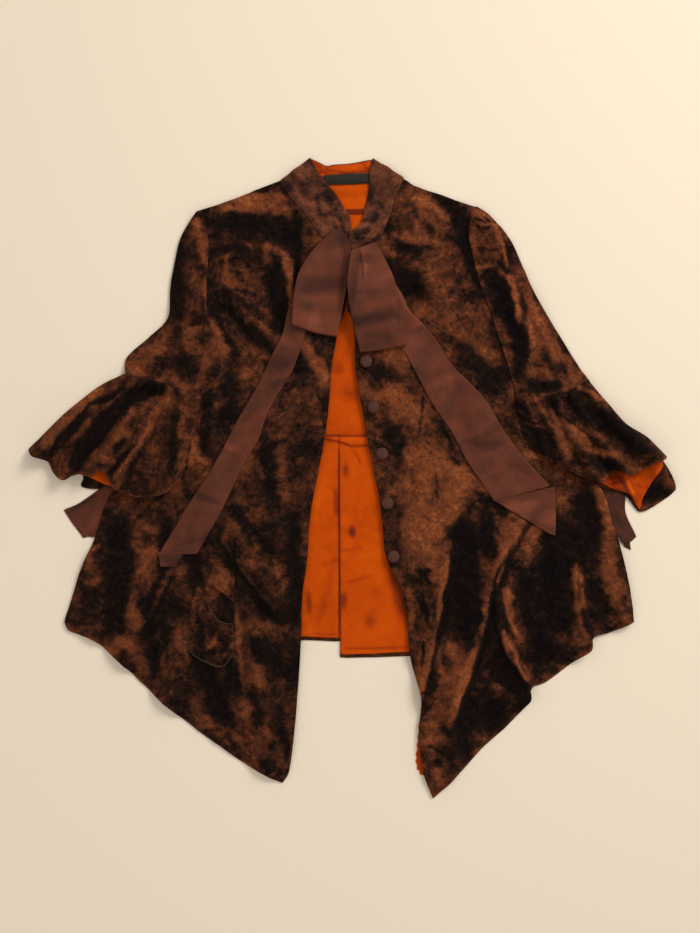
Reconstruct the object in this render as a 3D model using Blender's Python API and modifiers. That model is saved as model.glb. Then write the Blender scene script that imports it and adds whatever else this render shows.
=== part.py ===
"""A woman's short velvet coat of about 1895, laid flat on a table with its fronts up.

The coat lies on the XY plane. Its neck points to +Y, and the wearer's right side is at -X.
Tables are in millimetres on the laid coat: "across" runs from the middle to the wearer's
left, which is +X, and "down" runs from the top of the collar to the hem, which is -Y.
Each piece of cloth is laid on the pieces that are under it, one after the other.
"""

import bmesh
import bpy
import numpy as np
from mathutils import Vector
from mathutils.bvhtree import BVHTree

MM = 0.001

# Driving sizes, in millimetres.
MIDDLE_DOWN = 482.0  # "down" of the coat's middle, which is the frame's origin
MIDDLE_ACROSS = 0.0  # "across" of the coat's middle
VELVET_WALL = 2.0
SILK_WALL = 1.0
RIBBON_WALL = 1.0
LABEL_WALL = 1.0
SEAM_GAP = 0.4  # air between a piece and the one that it lies on
CLEARANCE = 0.3  # the least air that a piece is lifted to
LIFT = 0.2  # one step of lifting
LIFTS = 80  # the most steps of lifting
SEAM_ROLL = 4.0  # how far the upper layer's edge stands past the lower one's
BODY_PUFF = 4.0  # air between back and fronts, away from the seams
SLEEVE_PUFF = 9.0
FLOUNCE_PUFF = 9.0
PUFF_REACH = 55.0  # how far from a seam the puff reaches its full height
BUTTON_RADIUS = 9.2
BUTTON_HEIGHT = 5.0
HIGHEST = 300.0  # above everything, where the resting rays start
RIM_ANGLE = 1.1  # radians between faces, from which an edge is shaded sharp

# Colours, linear red, green and blue.
VELVET = (0.075, 0.030, 0.014)
ORANGE_SILK = (0.80, 0.16, 0.012)
BROWN_SILK = (0.155, 0.052, 0.032)
BLACK_WEAVE = (0.020, 0.020, 0.017)

# Seam lines and edges. Columns: across, down.
SHOULDER_RIGHT = [(-230, 81), (-183, 65), (-135, 45), (-106, 35)]
SHOULDER_LEFT = [(75, 32), (99, 45), (140, 59), (183, 75)]
SIDE_RIGHT = [
    (-230, 81), (-220, 124), (-222, 184), (-220, 241), (-204, 286), (-210, 322), (-235, 364),
    (-295, 432), (-358, 500), (-387, 576), (-407, 620), (-424, 674), (-432, 698),
]
SIDE_LEFT = [
    (183, 75), (179, 117), (189, 162), (203, 207), (221, 260), (236, 305), (246, 353),
    (282, 402), (335, 455), (375, 503), (390, 552), (402, 590), (417, 650), (423, 698),
]
HEM_RIGHT = [
    (-432, 698), (-426, 710), (-406, 718), (-386, 726), (-352, 754), (-321, 784), (-282, 820),
    (-238, 855), (-202, 882), (-165, 908), (-129, 928), (-104, 940),
]
HEM_LEFT = [
    (122, 963), (150, 936), (173, 912), (198, 885), (231, 855), (266, 817), (267, 797),
    (290, 788), (318, 768), (338, 752), (358, 738), (360, 721), (387, 713), (423, 698),
]
EDGE_RIGHT = [
    (-106, 35), (-92, 56), (-70, 82), (-48, 112), (-27, 138), (-4, 143), (-7, 200), (-12, 229),
    (-19, 252), (-30, 308), (-36, 380), (-45, 441), (-62, 534), (-68, 603), (-75, 654),
    (-77, 723), (-83, 815), (-93, 914), (-104, 940),
]
EDGE_LEFT = [
    (75, 32), (63, 53), (54, 83), (39, 119), (24, 138), (2, 143), (-2, 200), (-6, 229),
    (2, 250), (7, 318), (16, 376), (24, 423), (33, 468), (44, 528), (51, 594), (71, 642),
    (81, 676), (87, 747), (98, 788), (104, 816), (101, 856), (98, 904), (108, 927), (122, 963),
]
BACK_NECK_RIGHT = [(-106, 35), (-78, 42), (-48, 47), (-17.2, 48)]
BACK_NECK_LEFT = [(-16.8, 48), (12, 48), (44, 43), (75, 32)]
BACK_HEM_RIGHT = [(-428, 698), (-300, 722), (-78, 725), (-17.2, 727)]
BACK_HEM_LEFT = [(-16.8, 751), (87, 749), (250, 738), (380, 712), (419, 698)]
SLEEVE_OUTER_RIGHT = [
    (-233, 82), (-248, 104), (-258, 125), (-266, 158), (-273, 200), (-276, 242), (-303, 269),
    (-337, 301), (-339, 328),
]
SLEEVE_INNER_RIGHT = [
    (-226, 80), (-217, 124), (-219, 184), (-217, 241), (-200, 287), (-200, 326), (-228, 364),
]
SLEEVE_OUTER_LEFT = [
    (190, 76), (210, 91), (237, 124), (255, 162), (272, 200), (296, 242), (321, 282),
    (342, 317), (357, 338),
]
SLEEVE_INNER_LEFT = [
    (180, 75), (176, 117), (186, 162), (200, 207), (218, 260), (233, 305), (243, 340), (248, 365),
]
GATHER_RIGHT = [(-339, 328), (-303, 338), (-267, 349), (-228, 364)]
GATHER_LEFT = [(248, 365), (290, 362), (324, 354), (357, 338)]

# Flounces: gathered end, the two sides and the hem. Columns: across, down.
FLOUNCE_RIGHT = {
    "top": [(-341, 326), (-303, 335), (-266, 346), (-226, 361)],
    "left": [(-341, 326), (-378, 343), (-416, 372), (-453, 406), (-486, 438)],
    "bottom": [
        (-486, 438), (-476, 448), (-455, 456), (-446, 473), (-429, 484), (-418, 478),
        (-405, 475), (-388, 478), (-373, 470), (-363, 484), (-351, 498), (-318, 510),
        (-280, 505), (-255, 485),
    ],
    "right": [(-226, 361), (-236, 410), (-246, 452), (-255, 485)],
}
FLOUNCE_UNDER_RIGHT = {
    "top": [(-338, 331), (-303, 341), (-268, 350), (-240, 366)],
    "left": [(-338, 331), (-376, 346), (-413, 376), (-450, 408), (-478, 438)],
    "bottom": [
        (-478, 438), (-452, 455), (-430, 465), (-410, 470), (-403, 480), (-406, 493), (-384, 497),
        (-358, 495), (-325, 500), (-264, 490),
    ],
    "right": [(-240, 366), (-246, 410), (-254, 452), (-264, 490)],
}
FLOUNCE_LINING_RIGHT = {
    "top": [(-336, 334), (-303, 344), (-268, 353), (-243, 369)],
    "left": [(-336, 334), (-374, 349), (-411, 378), (-447, 410), (-470, 437)],
    "bottom": [(-470, 437), (-438, 459), (-392, 480), (-362, 493), (-325, 495), (-270, 484)],
    "right": [(-243, 369), (-250, 410), (-260, 450), (-270, 484)],
}
FLOUNCE_LEFT = {
    "top": [(246, 362), (290, 359), (324, 351), (359, 335)],
    "left": [(246, 362), (262, 422), (296, 456), (330, 474), (368, 490)],
    "bottom": [(368, 490), (392, 471), (412, 478), (440, 464), (470, 450)],
    "right": [(359, 335), (368, 350), (408, 399), (441, 420), (470, 450)],
}
FLOUNCE_UNDER_LEFT = {
    "top": [(250, 369), (290, 366), (324, 358), (356, 342)],
    "left": [(250, 369), (268, 424), (300, 457), (334, 478), (370, 493)],
    "bottom": [(370, 493), (390, 500), (415, 509), (433, 532), (472, 512), (486, 500)],
    "right": [(356, 342), (404, 400), (438, 422), (474, 468), (486, 500)],
}
FLOUNCE_LINING_LEFT = {
    "top": [(252, 373), (290, 369), (324, 361), (354, 346)],
    "left": [(252, 373), (272, 426), (304, 458), (338, 478), (373, 488)],
    "bottom": [(373, 488), (392, 495), (414, 505), (432, 525), (434, 510), (450, 487)],
    "right": [(354, 346), (400, 402), (434, 424), (464, 458), (450, 487)],
}

# Ridges of cloth. Columns: start across, start down, end across, end down, half width at the
# start and at the end, height at the start and at the end, bend of the middle to the left, and
# lean: 0 is even, and above 0 the ridge is long on its left and steep on its right.
FOLDS_FRONT_RIGHT = [
    (-128, 118, -82, 240, 24, 28, 5, 7, 8, 0.0),
    (-190, 200, -112, 290, 26, 28, 6, 7, -6, 0.0),
    (-78, 255, -60, 425, 24, 28, 5, 6, -8, 0.0),
    (-206, 300, -205, 545, 28, 30, 7, 8, 8, 0.0),
    (-252, 365, -268, 590, 26, 30, 8, 7, -6, 0.0),
    (-285, 600, -320, 705, 22, 26, 6, 7, 0, 0.4),
    (-184, 531, -104, 672, 26, 28, 6, 11, 8, 0.0),
    (-322, 690, -352, 760, 28, 30, 6, 12, 4, 0.0),
    (-222, 680, -282, 835, 28, 34, 5, 11, 6, 0.0),
    (-140, 710, -132, 915, 28, 32, 5, 9, -8, 0.0),
    (-395, 600, -392, 730, 24, 26, 4, 7, 0, 0.0),
    (-122, 400, -135, 540, 24, 26, 5, 6, 5, 0.0),
]
FOLDS_FRONT_LEFT = [
    (96, 60, 146, 112, 24, 24, 4, 5, 0, 0.0),
    (98, 150, 150, 252, 26, 28, 5, 6, 8, 0.0),
    (160, 250, 196, 410, 26, 30, 5, 7, -6, 0.0),
    (82, 300, 74, 440, 24, 26, 4, 5, 4, 0.0),
    (118, 450, 92, 620, 28, 26, 6, 6, 6, 0.0),
    (146, 596, 104, 812, 22, 24, 7, 9, 8, -0.4),
    (252, 545, 204, 655, 26, 26, 9, 12, 6, 0.3),
    (204, 655, 150, 850, 26, 34, 12, 14, 4, 0.3),
    (214, 640, 266, 806, 24, 30, 8, 17, 6, 0.7),
    (150, 850, 142, 935, 30, 30, 9, 7, 0, 0.0),
    (306, 560, 314, 690, 28, 28, 7, 8, 0, 0.0),
    (338, 606, 360, 745, 24, 28, 8, 15, 4, 0.7),
    (378, 505, 410, 705, 24, 26, 6, 8, -6, 0.0),
]
FOLDS_SLEEVE_RIGHT = [
    (-236, 110, -238, 240, 16, 20, 5, 7, 4, 0.0),
    (-262, 220, -300, 318, 18, 22, 4, 7, -6, 0.0),
    (-232, 262, -252, 345, 18, 22, 5, 7, 0, 0.0),
]
FOLDS_SLEEVE_LEFT = [
    (200, 98, 238, 190, 20, 22, 6, 6, -6, 0.0),
    (234, 180, 254, 262, 18, 20, 7, 8, -4, 0.5),
    (262, 185, 300, 330, 20, 24, 5, 8, -6, 0.0),
    (245, 275, 268, 350, 18, 22, 4, 7, 4, 0.0),
]
FOLDS_FLOUNCE_RIGHT = [
    (-335, 328, -476, 452, 7, 19, 3, 22, 0, 0.0),
    (-318, 332, -434, 486, 7, 19, 3, 17, -4, 0.3),
    (-300, 337, -396, 482, 7, 17, 3, 14, -4, 0.0),
    (-285, 341, -352, 502, 7, 15, 3, 10, -4, 0.3),
    (-270, 346, -322, 515, 7, 15, 3, 8, 0, 0.0),
    (-256, 352, -290, 512, 6, 14, 3, 8, 0, 0.0),
    (-244, 358, -262, 492, 6, 12, 3, 6, 0, 0.0),
]
FOLDS_FLOUNCE_LEFT = [
    (350, 338, 455, 462, 8, 22, 4, 20, 6, 0.0),
    (330, 349, 414, 484, 8, 18, 4, 18, 4, 0.3),
    (305, 357, 376, 494, 8, 16, 4, 15, 4, 0.0),
    (282, 360, 338, 480, 7, 14, 4, 9, 4, 0.0),
    (260, 362, 300, 462, 7, 12, 3, 7, 0, 0.0),
]
FOLDS_UNDER_LEFT = [(352, 345, 482, 494, 8, 16, 1, 12, 0, 0.0)]

# Collar, lining and small pieces. Columns: across, down.
COLLAR_BACK = {
    "top": [(-62, 2), (-48, 8), (-38, 12), (-26, 10), (-11, 9), (3, 7), (20, 4), (30, 3)],
    "left": [(-62, 2), (-84, 19), (-106, 36)],
    "bottom": [(-106, 36), (-78, 44), (-17, 50), (44, 45), (75, 33)],
    "right": [(30, 3), (52, 17), (75, 33)],
}
COLLAR_LINING = {
    "top": [(-60, 5), (-47, 10), (-38, 14), (-26, 12), (-11, 11), (3, 9), (18, 7), (28, 6)],
    "left": [(-60, 5), (-78, 20), (-96, 34)],
    "bottom": [(-96, 34), (-74, 38), (-17, 38), (40, 37), (66, 32)],
    "right": [(28, 6), (48, 18), (66, 32)],
}
COLLAR_FRONT_RIGHT = {
    "top": [(-108, 35), (-86, 19), (-63, 1)],
    "left": [(-108, 35), (-94, 57), (-72, 84), (-50, 114), (-30, 143)],
    "bottom": [(-30, 143), (-12, 136), (-1, 117)],
    "right": [
        (-63, 1), (-57, 13), (-47, 28), (-37, 41), (-22, 60), (-13, 75), (-4, 88), (-1, 101), (-1, 117),
    ],
}
COLLAR_FRONT_LEFT = {
    "top": [(31, 2), (53, 16), (77, 31)],
    "left": [(31, 2), (26, 21), (25, 39), (24, 57), (20, 76), (13, 99), (-3, 114)],
    "bottom": [(-3, 114), (-3, 132), (6, 147), (26, 148)],
    "right": [(77, 31), (66, 54), (57, 84), (43, 119), (26, 148)],
}
FOLDS_COLLAR_RIGHT = [(-86, 18, -18, 126, 14, 14, 5, 3, 0, 0.0)]
FOLDS_COLLAR_LEFT = [
    (54, 15, 16, 128, 14, 14, 5, 4, 0, 0.0),
    (60, 95, 22, 128, 10, 10, 3, 4, 0, 0.0),
]
LINING_BODICE = {
    "top": [(-90, 40), (-17, 36), (62, 38)],
    "left": [(-90, 40), (-88, 240), (-100, 424)],
    "bottom": [(-100, 424), (-10, 422), (80, 424)],
    "right": [(62, 38), (64, 240), (80, 424)],
}
LINING_SKIRT_RIGHT = {
    "top": [(-104, 419), (-60, 418), (-12, 418)],
    "left": [(-104, 419), (-128, 570), (-140, 720)],
    "bottom": [(-140, 720), (-78, 720), (-12, 722)],
    "right": [(-12, 418), (-12, 570), (-12, 722)],
}
LINING_SKIRT_LEFT = {
    "top": [(-18, 416), (30, 415), (84, 419)],
    "left": [(-18, 416), (-19, 570), (-17, 746)],
    "bottom": [(-17, 746), (40, 745), (150, 740)],
    "right": [(84, 419), (120, 570), (150, 740)],
}
LABEL = {
    "top": [(-39, 27), (-8, 25), (24, 24)],
    "left": [(-39, 27), (-37, 42)],
    "bottom": [(-37, 42), (-8, 41), (25, 39)],
    "right": [(24, 24), (25, 39)],
}
NECK_TAPE = {
    "top": [(-34, 79), (36, 78)],
    "left": [(-34, 79), (-34, 86)],
    "bottom": [(-34, 86), (36, 85)],
    "right": [(36, 78), (36, 85)],
}
POCKET = {
    "top": [(-232, 645), (-222, 655), (-213, 674), (-202, 692), (-190, 699), (-178, 700)],
    "left": [(-232, 645), (-241, 672), (-243, 704), (-243, 736)],
    "bottom": [(-243, 736), (-227, 753), (-201, 764), (-189, 760), (-178, 744)],
    "right": [(-178, 700), (-177, 722), (-178, 744)],
}
POCKET_FLAP = {
    "top": [(-207, 612), (-192, 616), (-177, 622)],
    "left": [(-207, 612), (-213, 626), (-218, 640)],
    "bottom": [(-218, 640), (-198, 650), (-177, 668)],
    "right": [(-177, 622), (-176, 645), (-177, 668)],
}

# Ribbons: their two long edges and their ends. Columns: across, down.
TAIL_RIGHT = {
    "top": [(-94, 226), (-62, 236)],
    "left": [
        (-94, 226), (-105, 268), (-123, 303), (-142, 343), (-174, 400), (-208, 466),
        (-246, 525), (-289, 595),
    ],
    "bottom": [(-289, 595), (-233, 595)],
    "right": [
        (-62, 236), (-74, 278), (-89, 319), (-102, 341), (-124, 381), (-142, 427),
        (-165, 466), (-189, 519), (-208, 553), (-233, 595),
    ],
}
TAIL_LEFT = {
    "top": [(32, 200), (60, 184)],
    "left": [
        (32, 200), (50, 250), (80, 295), (96, 324), (121, 370), (146, 408), (171, 453),
        (191, 483), (213, 517),
    ],
    "bottom": [(213, 517), (254, 505), (296, 494)],
    "right": [
        (60, 184), (76, 209), (86, 232), (107, 252), (129, 279), (151, 313), (197, 361),
        (220, 399), (247, 438), (296, 494),
    ],
}
TAIL_END_RIGHT = {
    "top": [(-290, 592), (-252, 592)],
    "left": [(-290, 592), (-286, 613)],
    "bottom": [(-286, 613), (-264, 614)],
    "right": [(-252, 592), (-264, 614)],
}
TAIL_END_LEFT = {
    "top": [(213, 516), (259, 505), (303, 496)],
    "left": [(213, 516), (256, 541), (297, 565)],
    "bottom": [(297, 565), (304, 567)],
    "right": [(303, 496), (305, 531), (304, 567)],
}
LOOP_RIGHT = {
    "top": [(-29, 109), (-20, 111), (-12, 115)],
    "left": [(-29, 109), (-37, 121), (-52, 135), (-77, 171), (-86, 209), (-89, 251)],
    "bottom": [(-89, 251), (-56, 262), (-22, 268)],
    "right": [(-12, 115), (-4, 129), (-2, 146), (-6, 186), (-11, 213), (-22, 268)],
}
LOOP_LEFT = {
    "top": [(-1, 144), (14, 138), (34, 130)],
    "left": [(-1, 144), (-6, 186), (-6, 205), (-1, 240), (12, 291)],
    "bottom": [(12, 291), (46, 287), (81, 281)],
    "right": [(34, 130), (42, 142), (61, 181), (68, 213), (79, 260), (81, 281)],
}
CUFF_RIBBON_RIGHT = {
    "top": [(-433, 530), (-406, 517), (-362, 484)],
    "left": [(-433, 530), (-419, 551), (-404, 572)],
    "bottom": [(-404, 572), (-396, 570), (-386, 571)],
    "right": [(-362, 484), (-358, 512), (-386, 571)],
}
CUFF_RIBBON_LEFT = {
    "top": [(352, 478), (385, 480), (412, 492)],
    "left": [(352, 478), (384, 544), (406, 580)],
    "bottom": [(406, 580), (417, 579), (427, 571)],
    "right": [(412, 492), (411, 533), (427, 571)],
}
CUFF_RIBBON_LEFT_END = {
    "top": [(404, 568), (415, 562)],
    "left": [(404, 568), (409, 585)],
    "bottom": [(409, 585), (419, 591)],
    "right": [(415, 562), (419, 591)],
}

# Buttons on the left front's edge. Columns: across, down.
BUTTONS = [(21, 307), (32, 375), (45, 445), (53, 519), (62, 599)]


def edge_line(points, count):
    """A Catmull-Rom curve through the points, at count places an equal length apart."""
    knots = np.array(points, float)
    knots = np.vstack([2 * knots[0] - knots[1], knots, 2 * knots[-1] - knots[-2]])
    steps = np.linspace(0, 1, 13)[:, None]
    spans = []
    for a, b, c, d in zip(knots, knots[1:], knots[2:], knots[3:]):
        curved = (2 * a - 5 * b + 4 * c - d) + steps * (3 * (b - c) + d - a)
        spans.append(b + 0.5 * steps * ((c - a) + steps * curved))
    curve = np.vstack([spans[0][:1]] + [span[1:] for span in spans])
    run = np.concatenate([[0], np.cumsum(np.linalg.norm(np.diff(curve, axis=0), axis=1))])
    places = np.linspace(0, run[-1], count)
    return np.column_stack([np.interp(places, run, curve[:, axis]) for axis in (0, 1)])


def cut_out(edges, across, down):
    """A Coons patch: plan points [down, across] between four edges, which run from the top left."""
    top, bottom = edge_line(edges["top"], across + 1), edge_line(edges["bottom"], across + 1)
    left, right = edge_line(edges["left"], down + 1), edge_line(edges["right"], down + 1)
    u = np.linspace(0, 1, across + 1)[None, :, None]
    v = np.linspace(0, 1, down + 1)[:, None, None]
    corners = (1 - v) * ((1 - u) * top[0] + u * top[-1]) + v * ((1 - u) * bottom[0] + u * bottom[-1])
    return (1 - v) * top + v * bottom + (1 - u) * left[:, None] + u * right[:, None] - corners


def moved_in(points, by):
    """An edge line moved towards the middle by so many millimetres."""
    return [(across - by if across > 0 else across + by, down) for across, down in points]


def fold_height(plan, folds):
    """The highest ridge over each plan point: a rounded profile across, fading at both ends."""
    height = np.zeros(plan.shape[:2])
    for a0, d0, a1, d1, width0, width1, high0, high1, bend, lean in folds:
        start, run = np.array([a0, d0]), np.array([a1 - a0, d1 - d0])
        length = np.hypot(*run)
        share = ((plan - start) @ run) / length**2
        along = np.clip(share, 0, 1)
        left = np.array([-run[1], run[0]]) / length
        off = (plan - start) @ left - bend * 4 * along * (1 - along)
        width = (width0 + (width1 - width0) * along) * (1 + lean * np.sign(off))
        past = (share - along) * length / (width0 + (width1 - width0) * along)
        profile = np.clip(1 - (off / width) ** 2 - past**2, 0, 1) ** 2
        height = np.maximum(height, profile * (high0 + (high1 - high0) * along))
    return height


def puff(plan, seams, height):
    """Air under a layer: it rises from nothing at the seams to its full height."""
    near = np.full(plan.shape[:2], np.inf)
    for seam in seams:
        for point in edge_line(seam, 40):
            near = np.minimum(near, np.linalg.norm(plan - point, axis=2))
    share = np.clip(near / PUFF_REACH, 0, 1)
    return height * share * share * (3 - 2 * share)


class Table:
    """What has been laid so far, as one tree of faces that the next piece is laid on."""

    def __init__(self):
        self.points, self.faces, self.tree = [], [], None

    def add(self, obj):
        """Each four-sided face goes in with both of its diagonals."""
        first = len(self.points)
        graph = bpy.context.evaluated_depsgraph_get()
        mesh = obj.evaluated_get(graph).to_mesh()
        self.points += [obj.matrix_world @ vertex.co for vertex in mesh.vertices]
        for face in mesh.polygons:
            self.faces += both_diagonals([first + i for i in face.vertices])
        self.tree = BVHTree.FromPolygons(self.points, self.faces)

    def height(self, across, down):
        """The top of what lies there, in millimetres, or None on the bare table."""
        if self.tree is None:
            return None
        hit = self.tree.ray_cast(placed(across, down, HIGHEST), Vector((0, 0, -1)))[0]
        return None if hit is None else hit.z / MM

    def under(self, plan, gap=SEAM_GAP, reach=0.6, steps=2):
        """How low a piece may lie: above all that is near each of its points."""
        rows, columns = plan.shape[:2]
        lowest = np.zeros((rows, columns))
        offsets = np.linspace(-reach, reach, 2 * steps + 1)
        for row in range(rows):
            for column in range(columns):
                for i in np.clip(row + offsets, 0, rows - 1):
                    for j in np.clip(column + offsets, 0, columns - 1):
                        found = self.height(*between(plan, i, j))
                        if found is not None:
                            lowest[row, column] = max(lowest[row, column], found + gap)
        return lowest

    def cleared(self, plan, heights):
        """Lifts the cells of a piece until no part of it is within the gap of what lies below."""
        rows, columns = plan.shape[:2]
        number = np.arange(rows * columns).reshape(rows, columns)
        corners = np.stack([number[:-1, :-1], number[:-1, 1:], number[1:, 1:], number[1:, :-1]], axis=2)
        corners = corners.reshape(-1, 4)
        faces = [triangle for cell in corners for triangle in both_diagonals(cell.tolist())]
        heights = heights.copy()
        for _ in range(LIFTS):
            points = [placed(*p, z - CLEARANCE) for p, z in zip(plan.reshape(-1, 2), heights.ravel())]
            hits = BVHTree.FromPolygons(points, faces).overlap(self.tree) if self.tree else []
            if not hits:
                break
            raised = np.unique(corners[np.unique([hit[0] // 4 for hit in hits])])
            heights.ravel()[raised] += LIFT
        return heights


def both_diagonals(corners):
    """The triangles of a four-sided face cut both ways, or of another face as a fan."""
    if len(corners) == 4:
        a, b, c, d = corners
        return [[a, b, c], [a, c, d], [a, b, d], [b, c, d]]
    return [[corners[0], b, c] for b, c in zip(corners[1:], corners[2:])]


def placed(across, down, height):
    """A place on the laid coat, in millimetres, as a point of the frame."""
    return Vector(((across - MIDDLE_ACROSS) * MM, (MIDDLE_DOWN - down) * MM, height * MM))


def between(plan, row, column):
    """The plan point at a fractional row and column."""
    i, j = min(int(row), plan.shape[0] - 2), min(int(column), plan.shape[1] - 2)
    a, b = row - i, column - j
    return (1 - a) * ((1 - b) * plan[i, j] + b * plan[i, j + 1]) + a * (
        (1 - b) * plan[i + 1, j] + b * plan[i + 1, j + 1]
    )


def bridged(heights, passes):
    """Cloth spans a hollow: each point rises to its neighbours' mean where that is higher."""
    for _ in range(passes):
        ringed = np.pad(heights, 1, mode="edge")
        mean = (ringed[:-2, 1:-1] + ringed[2:, 1:-1] + ringed[1:-1, :-2] + ringed[1:-1, 2:]) / 4
        heights = np.maximum(heights, mean)
    return heights


def material(name, colour, roughness):
    """A Principled BSDF of one colour, made once for each name."""
    made = bpy.data.materials.get(name)
    if made is None:
        made = bpy.data.materials.new(name)
        made.use_nodes = True
        shader = made.node_tree.nodes["Principled BSDF"]
        shader.inputs["Base Color"].default_value = (*colour, 1)
        shader.inputs["Roughness"].default_value = roughness
        shader.inputs["Metallic"].default_value = 0.0
    return made


def link(name, mesh, finish, coat):
    """An object of this mesh, in the coat's collection."""
    obj = bpy.data.objects.new(name, mesh)
    mesh.materials.append(finish)
    coat.objects.link(obj)
    bpy.context.view_layer.update()
    return obj


def grid_shape(plan, heights):
    """A bmesh grid whose points are put at the plan points and heights."""
    rows, columns = plan.shape[:2]
    shape = bmesh.new()
    bmesh.ops.create_grid(shape, x_segments=columns - 1, y_segments=rows - 1, size=1)
    for vertex in shape.verts:
        column = round((vertex.co.x + 1) / 2 * (columns - 1))
        row = round((1 - vertex.co.y) / 2 * (rows - 1))
        vertex.co = placed(*plan[row, column], heights[row, column])
    return shape


def smooth_mesh(name, shape):
    """The finished shape as a mesh that is shaded smooth, with its rims left sharp."""
    mesh = bpy.data.meshes.new(name)
    shape.to_mesh(mesh)
    shape.free()
    mesh.shade_smooth()
    mesh.set_sharp_from_angle(angle=RIM_ANGLE)
    return mesh


def cloth(name, plan, heights, wall, finish, coat, table):
    """A closed wall of cloth: the grid is its underside, extruded up by the wall's thickness."""
    shape = grid_shape(plan, heights)
    made = bmesh.ops.extrude_face_region(shape, geom=shape.faces[:], use_keep_orig=True)
    upper = [part for part in made["geom"] if isinstance(part, bmesh.types.BMVert)]
    bmesh.ops.translate(shape, verts=upper, vec=(0, 0, wall * MM))
    bmesh.ops.recalc_face_normals(shape, faces=shape.faces)
    mesh = smooth_mesh(name, shape)
    obj = link(name, mesh, finish, coat)
    table.add(obj)
    return obj


def lay(name, edges, cells, wall, finish, coat, table, folds=(), air=None, gap=SEAM_GAP, bridge=2):
    """Lays a piece on the table and on all that is there. cells is (across, down)."""
    plan = cut_out(edges, *cells)
    heights = bridged(table.under(plan, gap), bridge)
    if air is not None:
        heights = heights + puff(plan, *air)
    heights = bridged(table.cleared(plan, heights + fold_height(plan, folds)), 1)
    return cloth(name, plan, heights, wall, finish, coat, table)


def fold_back(name, edges, cells, loft, finish, coat, table):
    """A ribbon loop: an upper layer that turns at its lower end and runs back underneath."""
    plan = cut_out(edges, *cells)
    rest = bridged(table.cleared(plan, bridged(table.under(plan), 3)), 1)
    rows = plan.shape[0]
    share = np.linspace(0, 1, rows)[:, None]
    lower = rest + RIBBON_WALL / 2
    upper = lower + 2.2 * RIBBON_WALL + loft * np.sin(np.pi * (0.1 + 0.72 * share))
    turn = plan[-1] + 0.12 * (plan[-1] - plan[-2])
    middle = plan.mean(axis=1, keepdims=True)
    inset = middle + (plan - middle) * 0.94
    plan_all = np.concatenate([plan, turn[None], inset[::-1]])
    heights = np.concatenate([upper, (upper[-1:] + lower[-1:]) / 2, lower[::-1]])
    shape = grid_shape(plan_all, heights)
    mesh = smooth_mesh(name, shape)
    obj = link(name, mesh, finish, coat)
    wall = obj.modifiers.new("ribbon wall", "SOLIDIFY")
    wall.thickness = RIBBON_WALL * MM * 0.8
    wall.offset = 0.0
    bpy.context.view_layer.update()
    table.add(obj)
    return obj


def button_mesh(finish):
    """A covered button: half of its outline, from the crown down and in under the rim."""
    outline = [
        (0.0, BUTTON_HEIGHT), (0.55, 0.93 * BUTTON_HEIGHT), (0.85, 0.70 * BUTTON_HEIGHT),
        (1.0, 0.38 * BUTTON_HEIGHT), (0.93, 0.08 * BUTTON_HEIGHT), (0.80, 0.0), (0.0, 0.0),
    ]
    mesh = bpy.data.meshes.new("button")
    mesh.from_pydata(
        [(share * BUTTON_RADIUS * MM, 0, high * MM) for share, high in outline],
        [(i, i + 1) for i in range(len(outline) - 1)],
        [],
    )
    mesh.materials.append(finish)
    return mesh


def add_button(name, mesh, place, coat, table):
    """Sets a button on the front, level, on the highest point under it."""
    turns = np.linspace(0, 2 * np.pi, 17)
    rim = [
        (place[0] + r * BUTTON_RADIUS * np.cos(t), place[1] + r * BUTTON_RADIUS * np.sin(t))
        for r in (0, 0.33, 0.66, 1)
        for t in turns
    ]
    seat = max(table.height(*point) or 0 for point in rim) + SEAM_GAP
    obj = bpy.data.objects.new(name, mesh)
    obj.location = placed(*place, seat)
    coat.objects.link(obj)
    turn = obj.modifiers.new("turn", "SCREW")
    turn.steps = turn.render_steps = 16
    turn.use_merge_vertices = True
    turn.merge_threshold = 0.0001
    return obj


def clear_scene():
    """Removes whatever the open file holds."""
    for obj in list(bpy.data.objects):
        bpy.data.objects.remove(obj)


def lay_back(velvet, coat, table):
    """The two back halves, flat on the table, and the back stretch of the collar."""
    right = {
        "top": SHOULDER_RIGHT[:-1] + BACK_NECK_RIGHT,
        "left": moved_in(SIDE_RIGHT, SEAM_ROLL),
        "bottom": BACK_HEM_RIGHT,
        "right": [(-17.2, 48), (-17.2, 380), (-17.2, 727)],
    }
    left = {
        "top": BACK_NECK_LEFT + SHOULDER_LEFT[1:],
        "left": [(-16.8, 48), (-16.8, 380), (-16.8, 751)],
        "bottom": BACK_HEM_LEFT,
        "right": moved_in(SIDE_LEFT, SEAM_ROLL),
    }
    right["top"][0] = right["left"][0]
    left["top"][-1] = left["right"][0]
    bare = Table()
    for name, edges in (("back_right", right), ("back_left", left)):
        plan = cut_out(edges, 9, 18)
        obj = cloth(name, plan, np.zeros(plan.shape[:2]), VELVET_WALL, velvet, coat, bare)
        table.add(obj)
    lay("collar_back", COLLAR_BACK, (10, 3), VELVET_WALL, velvet, coat, table)


def lay_lining(silk, weave, ribbon, coat, table):
    """The lining that shows between the fronts and in the neck, the label and the neck tape."""
    lay("lining_bodice", LINING_BODICE, (4, 8), SILK_WALL, silk, coat, table)
    lay("lining_skirt_right", LINING_SKIRT_RIGHT, (3, 7), SILK_WALL, silk, coat, table)
    lay("lining_skirt_left", LINING_SKIRT_LEFT, (4, 8), SILK_WALL, silk, coat, table)
    lay("collar_lining", COLLAR_LINING, (10, 3), SILK_WALL, silk, coat, table)
    lay("label", LABEL, (4, 1), LABEL_WALL, weave, coat, table)
    lay("neck_tape", NECK_TAPE, (4, 1), RIBBON_WALL, ribbon, coat, table)


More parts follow.
